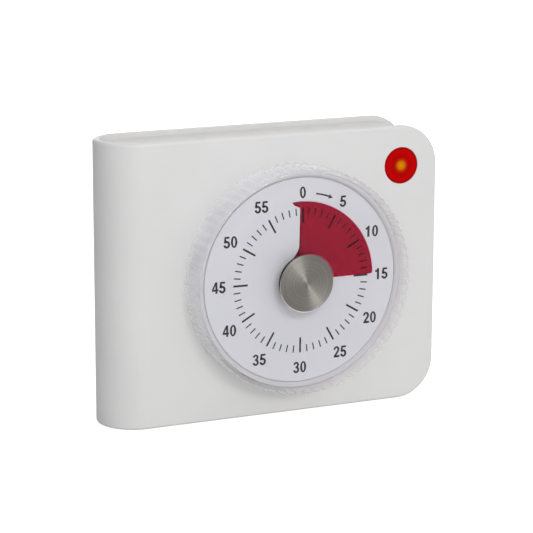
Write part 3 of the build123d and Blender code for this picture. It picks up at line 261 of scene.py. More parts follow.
class Skin:
    """Mesh under construction, in millimetres."""

    def __init__(self) -> None:
        """Starts with no points and no faces."""
        self.points: list[Point] = []
        self.faces: list[tuple[int, ...]] = []
        self.slots: list[int] = []
        self.slot = 0

    def line(self, points: Sequence[Point]) -> list[int]:
        """Adds points and gives their numbers."""
        first = len(self.points)
        self.points.extend(points)
        return list(range(first, len(self.points)))

    def face(self, corners: Sequence[int]) -> None:
        """Adds one face."""
        self.faces.append(tuple(corners))
        self.slots.append(self.slot)

    def bridge(self, near: Sequence[int], far: Sequence[int], closed: bool = True) -> None:
        """Joins two lines of as many points with four-sided faces.

        Args:
            near: Numbers of the first line's points.
            far: Numbers of the second line's points.
            closed: Whether the lines are loops.
        """
        count = len(near)
        for index in range(0 if closed else 1, count):
            self.face((near[index - 1], near[index], far[index], far[index - 1]))

    def strip(self, lines: Sequence[Sequence[int]], closed: bool = True) -> None:
        """Joins each line with the next."""
        for near, far in zip(lines, lines[1:]):
            self.bridge(near, far, closed)

    def fill(self, outline: Sequence[int], holes: Sequence[Sequence[int]] = ()) -> None:
        """Fills a flat outline round its holes with triangles.

        Args:
            outline: Numbers of the outline's points.
            holes: Numbers of each hole's points.
        """
        loops = [outline, *holes]
        numbers = [number for loop in loops for number in loop]
        places = [[Vector(self.points[number]) for number in loop] for loop in loops]
        for triangle in tessellate_polygon(places):
            self.face([numbers[corner] for corner in triangle])

    def sheet(self, sides: Sequence[Sequence[Sequence[Point]]]) -> None:
        """Adds a sheet and closes it round its edges.

        Args:
            sides: Rows of points over the sheet, and as many under it.
        """
        faces = []
        for rows in sides:
            faces.append([self.line(row) for row in rows])
            self.strip(faces[-1], closed=False)
        over, under = faces
        for row in (0, -1):
            self.bridge(over[row], under[row], closed=False)
        for column in (0, -1):
            self.bridge([row[column] for row in over], [row[column] for row in under], closed=False)

    def revolve(self, datum: Datum, profile: Sequence[Flat], count: int = 144,
                centre: Flat | None = None, closed: bool = True) -> None:
        """Turns a profile of (radius, height) round an axis along Y.

        Args:
            datum: Shared places.
            profile: Radius and height, point by point; a radius of zero closes the middle.
            count: Points in a full turn.
            centre: X and Z of the axis, or the dial's axis.
            closed: Whether the last point of the profile joins the first.
        """
        x, z = centre or (datum.dial_x, datum.dial_z)
        lines: list[list[int]] = []
        for radius, height in profile:
            y = datum.y_at(height)
            if radius == 0:
                middle = self.line([(x, y, z)])[0]
                lines.append([middle] * count)
            else:
                loop = circle(x, z, radius, count)
                lines.append(self.line([(across, y, up) for across, up in loop]))
        self.strip(lines + [lines[0]] if closed else lines)

    def piece(self, name: str, materials: Sequence[Material], body: Body, slot: str,
              replaces: Sequence[str] = (), sharp: float = 32.0) -> bpy.types.Object:
        """Makes the object, rides it on its body and gives it its materials.

        Args:
            name: Name of the piece.
            materials: Materials by face slot.
            body: Body that the piece rides on.
            slot: Material slot of the record; not used.
            replaces: Nodes that the piece stands for.
            sharp: Angle in degrees from which an edge stays sharp.

        Returns:
            The new object.
        """
        mesh = bpy.data.meshes.new(name)
        scaled = [tuple(MM * value for value in point) for point in self.points]
        usable = [(face, slot_number) for face, slot_number in zip(self.faces, self.slots)
                  if len(set(face)) == len(face) or len(set(face)) == 3]
        mesh.from_pydata(scaled, [], [tuple(dict.fromkeys(face)) for face, _ in usable])
        for polygon, (_, slot_number) in zip(mesh.polygons, usable):
            polygon.material_index = slot_number
        built = bmesh.new()
        built.from_mesh(mesh)
        bmesh.ops.remove_doubles(built, verts=built.verts, dist=MERGE_DISTANCE)
        bmesh.ops.dissolve_degenerate(built, edges=built.edges, dist=LEAST_EDGE)
        bmesh.ops.recalc_face_normals(built, faces=built.faces)
        built.to_mesh(mesh)
        built.free()
        return finish_piece(name, mesh, materials, body, replaces, sharp)


def finish_piece(name: str, mesh: bpy.types.Mesh, materials: Sequence[Material],
                 body: Body, replaces: Sequence[str], sharp: float) -> bpy.types.Object:
    """Links a mesh as a piece of the part.

    Args:
        name: Name of the piece.
        mesh: Its mesh, in metres.
        materials: Materials by face slot.
        body: Body that the piece rides on.
        replaces: Nodes that the piece stands for.
        sharp: Angle in degrees from which an edge stays sharp.

    Returns:
        The new object.
    """
    for material in materials:
        mesh.materials.append(material)
    mesh.polygons.foreach_set("use_smooth", [True] * len(mesh.polygons))
    mesh.set_sharp_from_angle(angle=math.radians(sharp))
    piece = bpy.data.objects.new(name, mesh)
    bpy.context.scene.collection.objects.link(piece)
    weighted = piece.modifiers.new("even_shading", "WEIGHTED_NORMAL")
    weighted.keep_sharp = True
    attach(piece, body.value)
    if replaces:
        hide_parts(*replaces)
    LOG.info("%s: %d faces on %s", name, len(mesh.polygons), body.value)
    return piece


# ---------------------------------------------------------------- finishes
class Tree:
    """Node tree of a material or a world, under construction."""

    def __init__(self, holder: Material | bpy.types.World) -> None:
        """Starts with no nodes."""
        holder.use_nodes = True
        self.tree = holder.node_tree
        self.tree.nodes.clear()

    def feed(self, target: Socket, value: object) -> None:
        """Links a socket to another one, or sets it to a constant."""
        if isinstance(value, Socket):
            self.tree.links.new(value, target)
        else:
            target.default_value = value

    def node(self, kind: str, inputs: dict[str | int, object] | None = None,
             **values: object) -> bpy.types.Node:
        """Adds a node.

        Args:
            kind: Blender's name of the node.
            inputs: Socket or constant for each input.
            values: The node's properties.

        Returns:
            The new node.
        """
        made = self.tree.nodes.new(kind)
        for key, value in values.items():
            setattr(made, key, value)
        for key, value in (inputs or {}).items():
            self.feed(made.inputs[key], value)
        return made

    def math(self, operation: str, first: object, second: object = 0.0) -> Socket:
        """Arithmetic on two sockets or numbers."""
        return self.node("ShaderNodeMath", {0: first, 1: second}, operation=operation).outputs[0]

    def facing(self, direction: Socket, towards: Point) -> Socket:
        """How far a direction looks towards another, from -1 to 1."""
        inputs = {0: direction, 1: Vector(towards).normalized()}
        return self.node("ShaderNodeVectorMath", inputs, operation="DOT_PRODUCT").outputs["Value"]

    def spread(self, source: Socket, low: float, high: float, start: float = 0.3,
               end: float = 0.7, **values: object) -> Socket:
        """Maps a value between two ends onto a range."""
        inputs = {"From Min": start, "From Max": end, "To Min": low, "To Max": high,
                  "Value": source}
        return self.node("ShaderNodeMapRange", inputs, **values).outputs["Result"]

    def mix(self, share: object, first: Socket, second: Socket) -> Socket:
        """Surface or backdrop between two others."""
        return self.node("ShaderNodeMixShader", {0: share, 1: first, 2: second}).outputs[0]


class Shader(Tree):
    """Material under construction."""

    def __init__(self, name: str) -> None:
        """Starts with a principled surface joined to the output."""
        self.material = bpy.data.materials.new(name)
        super().__init__(self.material)
        self.output = self.node("ShaderNodeOutputMaterial")
        self.surface = self.node("ShaderNodeBsdfPrincipled")
        self.show(self.surface.outputs["BSDF"])
        self.place = self.node("ShaderNodeTexCoord").outputs["Object"]

    def show(self, surface: Socket) -> None:
        """Makes a surface the material's own."""
        self.feed(self.output.inputs["Surface"], surface)

    def set(self, **values: object) -> None:
        """Sets or links the principled surface's own sockets."""
        for key, value in values.items():
            title = key.replace("_", " ").title().replace("Ior", "IOR")
            self.feed(self.surface.inputs[title], value)

    def noise(self, size: float, detail: float = 2.0) -> Socket:
        """Noise whose grains are about `size` millimetres wide, from 0 to 1."""
        inputs = {"Scale": 1 / (size * MM), "Detail": detail, "Vector": self.place}
        return self.node("ShaderNodeTexNoise", inputs).outputs["Fac"]

    def blend(self, share: Socket, first: Colour, second: Colour) -> Socket:
        """Colour between two screen colours."""
        inputs = {"Factor": share, "A": linear(first), "B": linear(second)}
        return self.node("ShaderNodeMix", inputs, data_type="RGBA").outputs["Result"]

    def tint(self, cloud: Socket, dark: Colour, light: Colour) -> Socket:
        """Base colour that goes from dark to light with a cloud."""
        colour = self.blend(self.spread(cloud, 0.0, 1.0), dark, light)
        self.set(base_color=colour)
        return colour

    def ramp(self, source: Socket, stops: Sequence[tuple[float, Colour]]) -> Socket:
        """Colour ramp of screen colours over a value."""
        made = self.node("ShaderNodeValToRGB", {"Fac": source})
        made.color_ramp.interpolation = "EASE"
        elements = made.color_ramp.elements
        while len(elements) < len(stops):
            elements.new(0.5)
        for element, (position, colour) in zip(elements, stops):
            element.position = position
            element.color = linear(colour)
        return made.outputs["Color"]

    def bump(self, source: Socket, height: float) -> Socket:
        """Bump of `height` millimetres on the principled surface."""
        made = self.node("ShaderNodeBump", {"Distance": height * MM, "Height": source})
        self.set(normal=made.outputs["Normal"])
        return made.outputs["Normal"]

    def radius_from(self, x: float, z: float) -> Socket:
        """Distance in millimetres from an axis along Y through x and z."""
        place = self.node("ShaderNodeSeparateXYZ", {0: self.place}).outputs
        squares = []
        for axis, middle in (("X", x), ("Z", z)):
            offset = self.math("SUBTRACT", place[axis], middle * MM)
            squares.append(self.math("MULTIPLY", offset, offset))
        return self.math("DIVIDE", self.math("SQRT", self.math("ADD", *squares)), MM)


@dataclass(frozen=True)
class Finish:
    """Surface with a mottled colour and a fine grain, both given as width in mm and detail.

    `shades` are the mottle's darkest and lightest shade, and `sway` is how much smoother and
    rougher the grain makes the surface. `glow` is painted light: emission that lightens the
    surface and its shade, though the surface is no lamp.
    """

    name: str
    colour: Colour
    roughness: float = 0.42
    mottle: Flat = (18.0, 3.0)
    shades: Flat = (0.994, 1.006)
    grain: Flat = (0.35, 4.0)
    sway: Flat = (0.05, 0.05)
    relief: float = 0.012
    gloss: float = 0.5
    metallic: float = 0.0
    glow: float = 0.0

    def shader(self) -> Shader:
        """Starts the material."""
        shader = Shader(self.name)
        colours = [shade(self.colour, factor) for factor in self.shades]
        tint = shader.tint(shader.noise(*self.mottle), *colours)
        grain = shader.noise(*self.grain)
        rough = shader.spread(grain, self.roughness - self.sway[0], self.roughness + self.sway[1])
        shader.set(roughness=rough, specular_ior_level=self.gloss, metallic=self.metallic)
        shader.bump(grain, self.relief)
        # Painted glow: emission in the surface's own colour, though it is no lamp
        if self.glow:
            shader.set(emission_color=tint, emission_strength=self.glow)
        return shader

    def material(self) -> Material:
        """Builds the material."""
        return self.shader().material


@dataclass(frozen=True)
class Moulded(Finish):
    """Moulded plastic with a fine spark-eroded grain and a slight flow mottle."""


@dataclass(frozen=True)
class Metal(Finish):
    """Drawn, stamped or turned metal with fine scratches and slight stains."""

    roughness: float = 0.3
    mottle: Flat = (6.0, 3.0)
    shades: Flat = (0.9, 1.0)
    grain: Flat = (0.3, 3.0)
    sway: Flat = (0.08, 0.1)
    relief: float = 0.01
    metallic: float = 1.0


@dataclass(frozen=True)
class Film(Finish):
    """Printed plastic film."""

    roughness: float = 0.5
    mottle: Flat = (25.0, 2.0)
    shades: Flat = (0.985, 1.0)
    grain: Flat = (0.25, 3.0)
    sway: Flat = (0.06, 0.06)
    relief: float = 0.004


@dataclass(frozen=True)
class TintedFilm(Film):
    """Red film that lets print below show through as through a colour filter."""

    colour: Colour = (152, 12, 52)
    roughness: float = 0.43
    mottle: Flat = (9.0, 3.0)
    shades: Flat = (0.97, 1.03)
    grain: Flat = (0.3, 3.0)
    sway: Flat = (0.07, 0.07)
    gloss: float = 0.2
    through: Colour = (236, 98, 164)
    cover: float = 0.03

    def shader(self) -> Shader:
        """Starts the material and makes it see-through."""
        shader = super().shader()
        clear = shader.node("ShaderNodeBsdfTransparent", {"Color": linear(self.through)})
        shader.show(shader.mix(self.cover, clear.outputs[0], shader.surface.outputs[0]))
        return shader


@dataclass(frozen=True)
class BrushedDisc:
    """Steel brushed in circles round the dial's axis."""

    name: str
    datum: Datum
    colour: Colour = (179, 175, 168)
    shades: Flat = (0.78, 1.14)
    ring_scale: float = 3.4
    ring_detail: float = 6.0
    roughness: Flat = (0.5, 0.64)
    stretch: float = 0.98
    stretch_turn: float = 0.25
    relief: float = 0.035

    def material(self) -> Material:
        """Builds the material."""
        shader = Shader(self.name)
        radius = shader.radius_from(self.datum.dial_x, self.datum.dial_z)
        inputs = {"Scale": self.ring_scale, "Detail": self.ring_detail, "W": radius}
        rings = shader.node("ShaderNodeTexNoise", inputs, noise_dimensions="1D")
        groove = rings.outputs["Fac"]
        shader.tint(groove, *(shade(self.colour, factor) for factor in self.shades))
        tangent = shader.node("ShaderNodeTangent", direction_type="RADIAL", axis="Y")
        shader.set(metallic=1.0, roughness=shader.spread(groove, *self.roughness),
                   anisotropic=self.stretch, anisotropic_rotation=self.stretch_turn,
                   tangent=tangent.outputs[0])
        shader.bump(groove, self.relief)
        return shader.material


@dataclass(frozen=True)
class Clear:
    """Clear plastic: light passes straight through, its faces shine more the flatter they are seen.

    `haze` is the share of light that ribs and moulded edges scatter. Their glow is painted light:
    emission that lightens the hazy faces, though the plastic holds no lamp. With `towards`, only
    faces that look that way are hazy and glow, from the first to the second share of `aimed`: a
    painted highlight that stays on the side facing that way.
    """

    name: str
    tint: Colour = (254, 253, 252)
    haze: float = 0.0
    haze_colour: Colour = (246, 246, 246)
    haze_sway: float = 0.1
    piped: float = 0.0
    reflection: float = 0.016
    roughness: float = 0.06
    rougher: float = 0.04
    cloud: float = 12.0
    grain: float = 0.8
    relief: float = 0.0
    dim_haze: float = 0.98
    dim_tint: float = 0.995
    towards: Point | None = None
    aimed: Flat = (0.58, 0.83)

    def share(self, shader: Shader, cloud: Socket) -> Socket:
        """Share of light that the plastic scatters at each place; with `towards` it is a painted
        highlight, kept to faces that look that way.
        """
        share = shader.spread(cloud, self.haze * (1 - self.haze_sway),
                              self.haze * (1 + self.haze_sway))
        if self.towards is None:
            return share
        # Only faces that look towards a fixed direction keep the haze: a painted highlight on that
        # side
        normal = shader.node("ShaderNodeNewGeometry").outputs["Normal"]
        facing = shader.spread(shader.facing(normal, self.towards), 0.0, 1.0, *self.aimed)
        return shader.math("MULTIPLY", share, facing)

    def material(self) -> Material:
        """Builds the material."""
        shader = Shader(self.name)
        cloud, grain = shader.noise(self.cloud), shader.noise(self.grain)
        shader.tint(cloud, shade(self.haze_colour, self.dim_haze), self.haze_colour)
        rough = shader.spread(grain, self.roughness, self.roughness + self.rougher)
        tint = shader.blend(cloud, shade(self.tint, self.dim_tint), self.tint)
        through = shader.node("ShaderNodeBsdfTransparent", {"Color": tint}).outputs[0]
        relief = {"Normal": shader.bump(grain, self.relief)} if self.relief else {}
        shine = shader.node("ShaderNodeBsdfAnisotropic", {"Roughness": rough, **relief})
        slant = shader.node("ShaderNodeLayerWeight", relief).outputs["Facing"]
        grazing = shader.math("MULTIPLY", shader.math("POWER", slant, SCHLICK_POWER),
                              1 - self.reflection)
        reflected = shader.math("ADD", grazing, self.reflection)
        shown = shader.mix(reflected, through, shine.outputs[0])
        # Painted glow: hazy faces give light of their haze colour, though no lamp is inside
        if self.haze:
            shader.set(roughness=rough, emission_strength=self.piped,
                       emission_color=linear(self.haze_colour))
            shown = shader.mix(self.share(shader, cloud), shown, shader.surface.outputs[0])
        lamps = shader.node("ShaderNodeLightPath").outputs["Is Shadow Ray"]
        shader.show(shader.mix(lamps, shown, through))
        return shader.material


@dataclass(frozen=True)
class LitLens:
    """Red lens with the lamp's glow behind its middle."""

    name: str
    x: float
    z: float
    radius: float = 7.3
    ripple: float = 1.6
    roughness: Flat = (0.12, 0.2)
    relief: float = 0.01
    glow: float = 0.1
    gloss: float = 0.04

    def material(self) -> Material:
        """Builds the material."""
        shader = Shader(self.name)
        share = shader.math("DIVIDE", shader.radius_from(self.x, self.z), self.radius)
        lit = shader.ramp(share, ((0.0, (205, 150, 0)), (0.17, (200, 118, 0)), (0.34, (184, 34, 0)),
                                  (0.46, (172, 0, 0)), (0.84, (188, 0, 0)), (1.0, (150, 0, 0))))
        ripple = shader.noise(self.ripple)
        shader.set(base_color=lit, emission_color=lit, emission_strength=self.glow,
                   roughness=shader.spread(ripple, *self.roughness), specular_ior_level=self.gloss)
        shader.bump(ripple, self.relief)
        return shader.material


# ---------------------------------------------------------------- housing
@dataclass
class Housing:
    """Front shell with the left bend, back shell and the recessed waist between them."""

    datum: Datum
    wall: float = 2.6
    corner: float = 16.0
    edge: float = 1.2
    inner_edge: float = 0.4
    seam: float = 0.06
    waist_depth: float = 2.0
    waist_wall: float = 1.6
    fit: float = 0.15
    lens_radius: float = 7.3
    bush_radius: float = 4.1
    front_hole_edge: float = 0.12
    bend_steps: int = 40
    corner_steps: int = 16
    lead_steps: int = 16

    def __post_init__(self) -> None:
        """Works out the bend's axis."""
        self.bend = (self.datum.back - self.datum.front) / 2
        self.bend_x = self.datum.left + self.bend
        self.middle = (self.datum.back + self.datum.front) / 2

    def corners(self, inset: float) -> list[Flat]:
        """Points round the two right corners, from low to high.

        Args:
            inset: Distance inside the housing's outline.

        Returns:
            X and Z of each point.
        """
        right, radius = self.datum.right - self.corner, self.corner - inset
        points: list[Flat] = []
        for first, z in ((-90, self.corner), (0, self.datum.top - self.corner)):
            points += arc(right, z, radius, radius, first, first + 90, self.corner_steps)
        return points

    def bend_line(self, depth: float, z: float) -> list[Point]:
        """Line round the bend from the seam at the back to the front plate."""
        radius = self.bend - depth
        angles = even(math.acos(self.seam / radius), -math.pi / 2, self.bend_steps)
        return [(self.bend_x - radius * math.cos(a), self.middle + radius * math.sin(a), z)
                for a in angles]

    def rim_line(self, depth: float, inset: float) -> list[Point]:
        """Line all round the front shell's rim, from the seam's foot to its top."""
        y = self.datum.front + depth
        low = self.bend_line(depth, inset)
        high = self.bend_line(depth, self.datum.top - inset)[::-1]
        return low + [(x, y, z) for x, z in self.corners(inset)] + high

    def hole(self, skin: Skin, face: float, inward: int,
             steps: Sequence[Step]) -> tuple[list[int], list[int]]:
        """Wall of a hole through a plate.

        Args:
            skin: Mesh that gets the wall.
            face: Y of the plate's outside.
            inward: Direction of the plate's inside along Y, 1 or -1.
            steps: Shape, growth and depth of each loop, from outside to inside.

        Returns:
            The loops in the outside and the inside face.
        """
        lines = [skin.line([(x, face + inward * depth, z) for x, z in shape.points(grow)])
                 for shape, grow, depth in steps]
        skin.strip(lines)
        return lines[0], lines[-1]

    def mouth(self, shape: Shape, edge: float) -> list[Step]:
        """Steps of a hole's broken outside edge."""
        return [(shape, inset, depth) for depth, inset in quarter(edge, 2)]

    def plain_hole(self, shape: Shape, edge: float) -> list[Step]:
        """Steps of a straight hole with a broken outside edge."""
        return [*self.mouth(shape, edge), (shape, 0.0, self.wall)]

    def front_shell(self, paint: Material) -> None:
        """Front plate and bend, with the holes for the lens and the bush."""
        skin = Skin()
        lens = Round(*centre_of("led_lens"), self.lens_radius + self.fit / 2, 64)
        bush = Round(self.datum.dial_x, self.datum.dial_z, self.bush_radius)
        holes = [self.hole(skin, self.datum.front, 1, self.plain_hole(shape, self.front_hole_edge))
                 for shape in (lens, bush)]
        rims = [skin.line(self.rim_line(depth, inset))
                for depth, inset in rim_profile(self.wall, self.edge, self.inner_edge)]
        skin.strip(rims, closed=False)
        skin.face([rim[0] for rim in rims] + [rim[-1] for rim in reversed(rims)])
        count = self.bend_steps + 1
        for side in (0, -1):
            rim = rims[side]
            skin.bridge(rim[:count], rim[-count:][::-1], closed=False)
            skin.fill(rim[count - 1:len(rim) - count + 1], [pair[side] for pair in holes])
        skin.piece("front_shell_skin", [paint], Body.HOUSING, "white_plastic", ["front_shell"])

    def back_outline(self, inset: float) -> list[Flat]:
        """Outline of the back shell with a straight edge at the seam."""
        return [(self.bend_x, inset), *self.corners(inset), (self.bend_x, self.datum.top - inset)]

    def back_holes(self) -> list[list[Step]]:
        """Openings of the back shell: door, sound slots, switch window and counterbores."""
        edge, corner, gap, pin = 0.2, 0.3, 0.25, 1.2
        low, high = box_of("battery_door")
        door = Slab(low.x + pin - gap, high.x - pin + gap, low.z - gap, high.z + gap, corner)
        openings = [self.plain_hole(door, edge)]

        half, pitch = 0.8, 3.2
        low, high = box_of("buzzer")
        reach = (high.x - low.x) / 2
        middle_x, middle_z = centre_of("buzzer")
        for row in range(-2, 3):
            width = math.sqrt(reach ** 2 - (row * pitch) ** 2) - half
            z = middle_z + row * pitch
            slot = Slab(middle_x - width, middle_x + width, z - half, z + half,
                        half - LEAST_CORNER)
            openings.append(self.plain_hole(slot, edge))

        travel, spare, depth, pocket_edge, slot_corner = 2.0, 0.3, 1.5, 0.15, 0.2
        low, high = box_of("switch_knob")
        x, z = centre_of("switch_knob")
        pocket = Slab(low.x - travel - spare, high.x + travel + spare, low.z - spare,
                      high.z + spare, corner)
        stem_half = 1.2
        stem = stem_half + spare
        slot = Slab(x - stem - travel, x + stem + travel, z - stem, z + stem, slot_corner)
        openings.append([*self.mouth(pocket, pocket_edge), (pocket, 0.0, depth),
                         (slot, 0.0, depth), (slot, 0.0, self.wall)])

        screw_radii, sink, foot = (2.65, 1.3, 4.7), 4.7, 6.0
        for x, z in self.screw_places():
            bore, shank, boss = (Round(x, z, radius, 32) for radius in screw_radii)
            openings.append([*self.mouth(bore, edge), (bore, 0.0, sink), (shank, 0.0, sink),
                             (shank, 0.0, foot), (boss, 0.0, foot), (boss, 0.0, self.wall)])
        return openings

    def screw_places(self) -> list[Flat]:
        """Centres of the four housing screws, read from their node."""
        spots: dict[tuple[bool, bool], list[Vector]] = {}
        split_x, split_z = centre_of("housing_screws")
        for vertex in frame["nodes"]["housing_screws"].data.vertices:
            place = vertex.co / MM
            spots.setdefault((place.x > split_x, place.z > split_z), []).append(place)
        centres = []
        for group in spots.values():
            xs, zs = [p.x for p in group], [p.z for p in group]
            centres.append(((min(xs) + max(xs)) / 2, (min(zs) + max(zs)) / 2))
        return centres

    def back_shell(self, paint: Material) -> None:
        """Back plate with its openings."""
        skin = Skin()
        holes = [self.hole(skin, self.datum.back, -1, steps) for steps in self.back_holes()]
        lines = []
        for depth, inset in rim_profile(self.wall, self.edge, self.inner_edge):
            y = self.datum.back - depth
            lines.append(skin.line([(x, y, z) for x, z in self.back_outline(inset)]))
        skin.strip(lines)
        for side in (0, -1):
            skin.fill(lines[side], [pair[side] for pair in holes])
        skin.piece("back_shell_skin", [paint], Body.HOUSING, "white_plastic", ["back_shell"])

    def waist(self, paint: Material) -> None:
        """Recessed wall over the top, down the right side and under the bottom."""
        skin = Skin()
        inside, least = self.bend - self.wall, 0.05
        lead = [self.bend_x - inside * math.cos(math.radians(90 * step / self.lead_steps))
                for step in range(self.lead_steps)]
        near, far = self.waist_depth, self.waist_depth + self.waist_wall
        lines: list[list[int]] = []
        for inset, side in ((near, -1), (near, 1), (far, 1), (far, -1)):
            high = self.datum.top - inset
            path = [(x, inset) for x in (*lead, self.bend_x)] + self.corners(inset)
            path += [(x, high) for x in (self.bend_x, *reversed(lead))]
            points = []
            for x, z in path:
                beyond = max(self.bend_x - x, 0.0)
                reach = math.sqrt(max(inside ** 2 - beyond ** 2, least ** 2))
                points.append((x, self.middle + side * reach, z))
            lines.append(skin.line(points))
        skin.strip([*lines, lines[0]], closed=False)
        for end in (0, -1):
            skin.face([line[end] for line in lines])
        skin.piece("waist_skin", [paint], Body.HOUSING, "waist_plastic", ["waist_band"])

    def build(self) -> None:
        """Builds and dresses the housing."""
        white = Moulded("white_satin", (226, 226, 224), roughness=0.48).material()
        self.front_shell(white)
        self.back_shell(white)
        self.waist(Moulded("waist_satin", (223, 222, 218), roughness=0.5).material())


# ---------------------------------------------------------------- dial
class Digits:
    """Outlines of the plain bold figures 0 to 5, one unit tall."""

    width = 0.58
    advance = 0.66

    def outline(self, figure: str) -> Outline:
        """Outline and holes of a figure.

        Args:
            figure: One of the characters 0 to 5.

        Returns:
            The outline and a list of holes.
        """
        return getattr(self, "figure_" + figure)()

    def figure_0(self) -> Outline:
        """Upright oval with an upright counter."""
        half = self.width / 2
        outer = arc(half, 0.5, half, 0.51, 0, 360, 32)[:-1]
        inner = arc(half, 0.5, half - 0.19, 0.36, 0, 360, 32)[:-1]
        return outer, [inner]

    def figure_1(self) -> Outline:
        """Stem with a flag at its top left."""
        flag = arc(0.04, 0.98, 0.2, 0.16, 0, -90, 6)
        foot = [(0.04, 0.66), (0.215, 0.66), (0.215, 0.0)]
        return [(0.415, 0.0), (0.415, 1.0), (0.26, 1.0), *flag, *foot], []

    def figure_2(self) -> Outline:
        """Bowl, diagonal and foot."""
        outer = arc(0.285, 0.715, 0.285, 0.295, 186, -28)
        inner = arc(0.28, 0.705, 0.095, 0.15, -38, 180)
        foot = [(0.28, 0.19), (0.57, 0.19), (0.57, 0.0), (0.0, 0.0), (0.02, 0.11), (0.08, 0.21)]
        return outer + foot + inner, []

    def figure_3(self) -> Outline:
        """Two bowls with a tongue between them."""
        upper = arc(0.275, 0.745, 0.265, 0.265, 178, -42)
        lower = arc(0.28, 0.285, 0.29, 0.295, 48, -176)
        lower_in = arc(0.28, 0.285, 0.1, 0.135, -176, 78)
        upper_in = arc(0.275, 0.745, 0.085, 0.11, -78, 180)
        return upper + lower + lower_in + [(0.21, 0.44), (0.21, 0.565)] + upper_in, []

    def figure_4(self) -> Outline:
        """Stem, bar and diagonal with a three-sided counter."""
        outer = [(0.32, 0.0), (0.50, 0.0), (0.50, 0.2), (0.59, 0.2), (0.59, 0.37), (0.50, 0.37),
                 (0.50, 1.0), (0.31, 1.0), (0.0, 0.37), (0.0, 0.2), (0.32, 0.2)]
        return outer, [[(0.32, 0.37), (0.32, 0.70), (0.16, 0.37)]]

    def figure_5(self) -> Outline:
        """Bar, short stem and open bowl."""
        inner = arc(0.28, 0.315, 0.11, 0.155, 140, -170)
        outer = arc(0.28, 0.315, 0.305, 0.33, -172, 108, 22)
        return ([(0.54, 1.0), (0.09, 1.0), (0.02, 0.46), (0.17, 0.44)] + inner + outer
                + [(0.205, 0.61), (0.225, 0.83), (0.54, 0.83)]), []


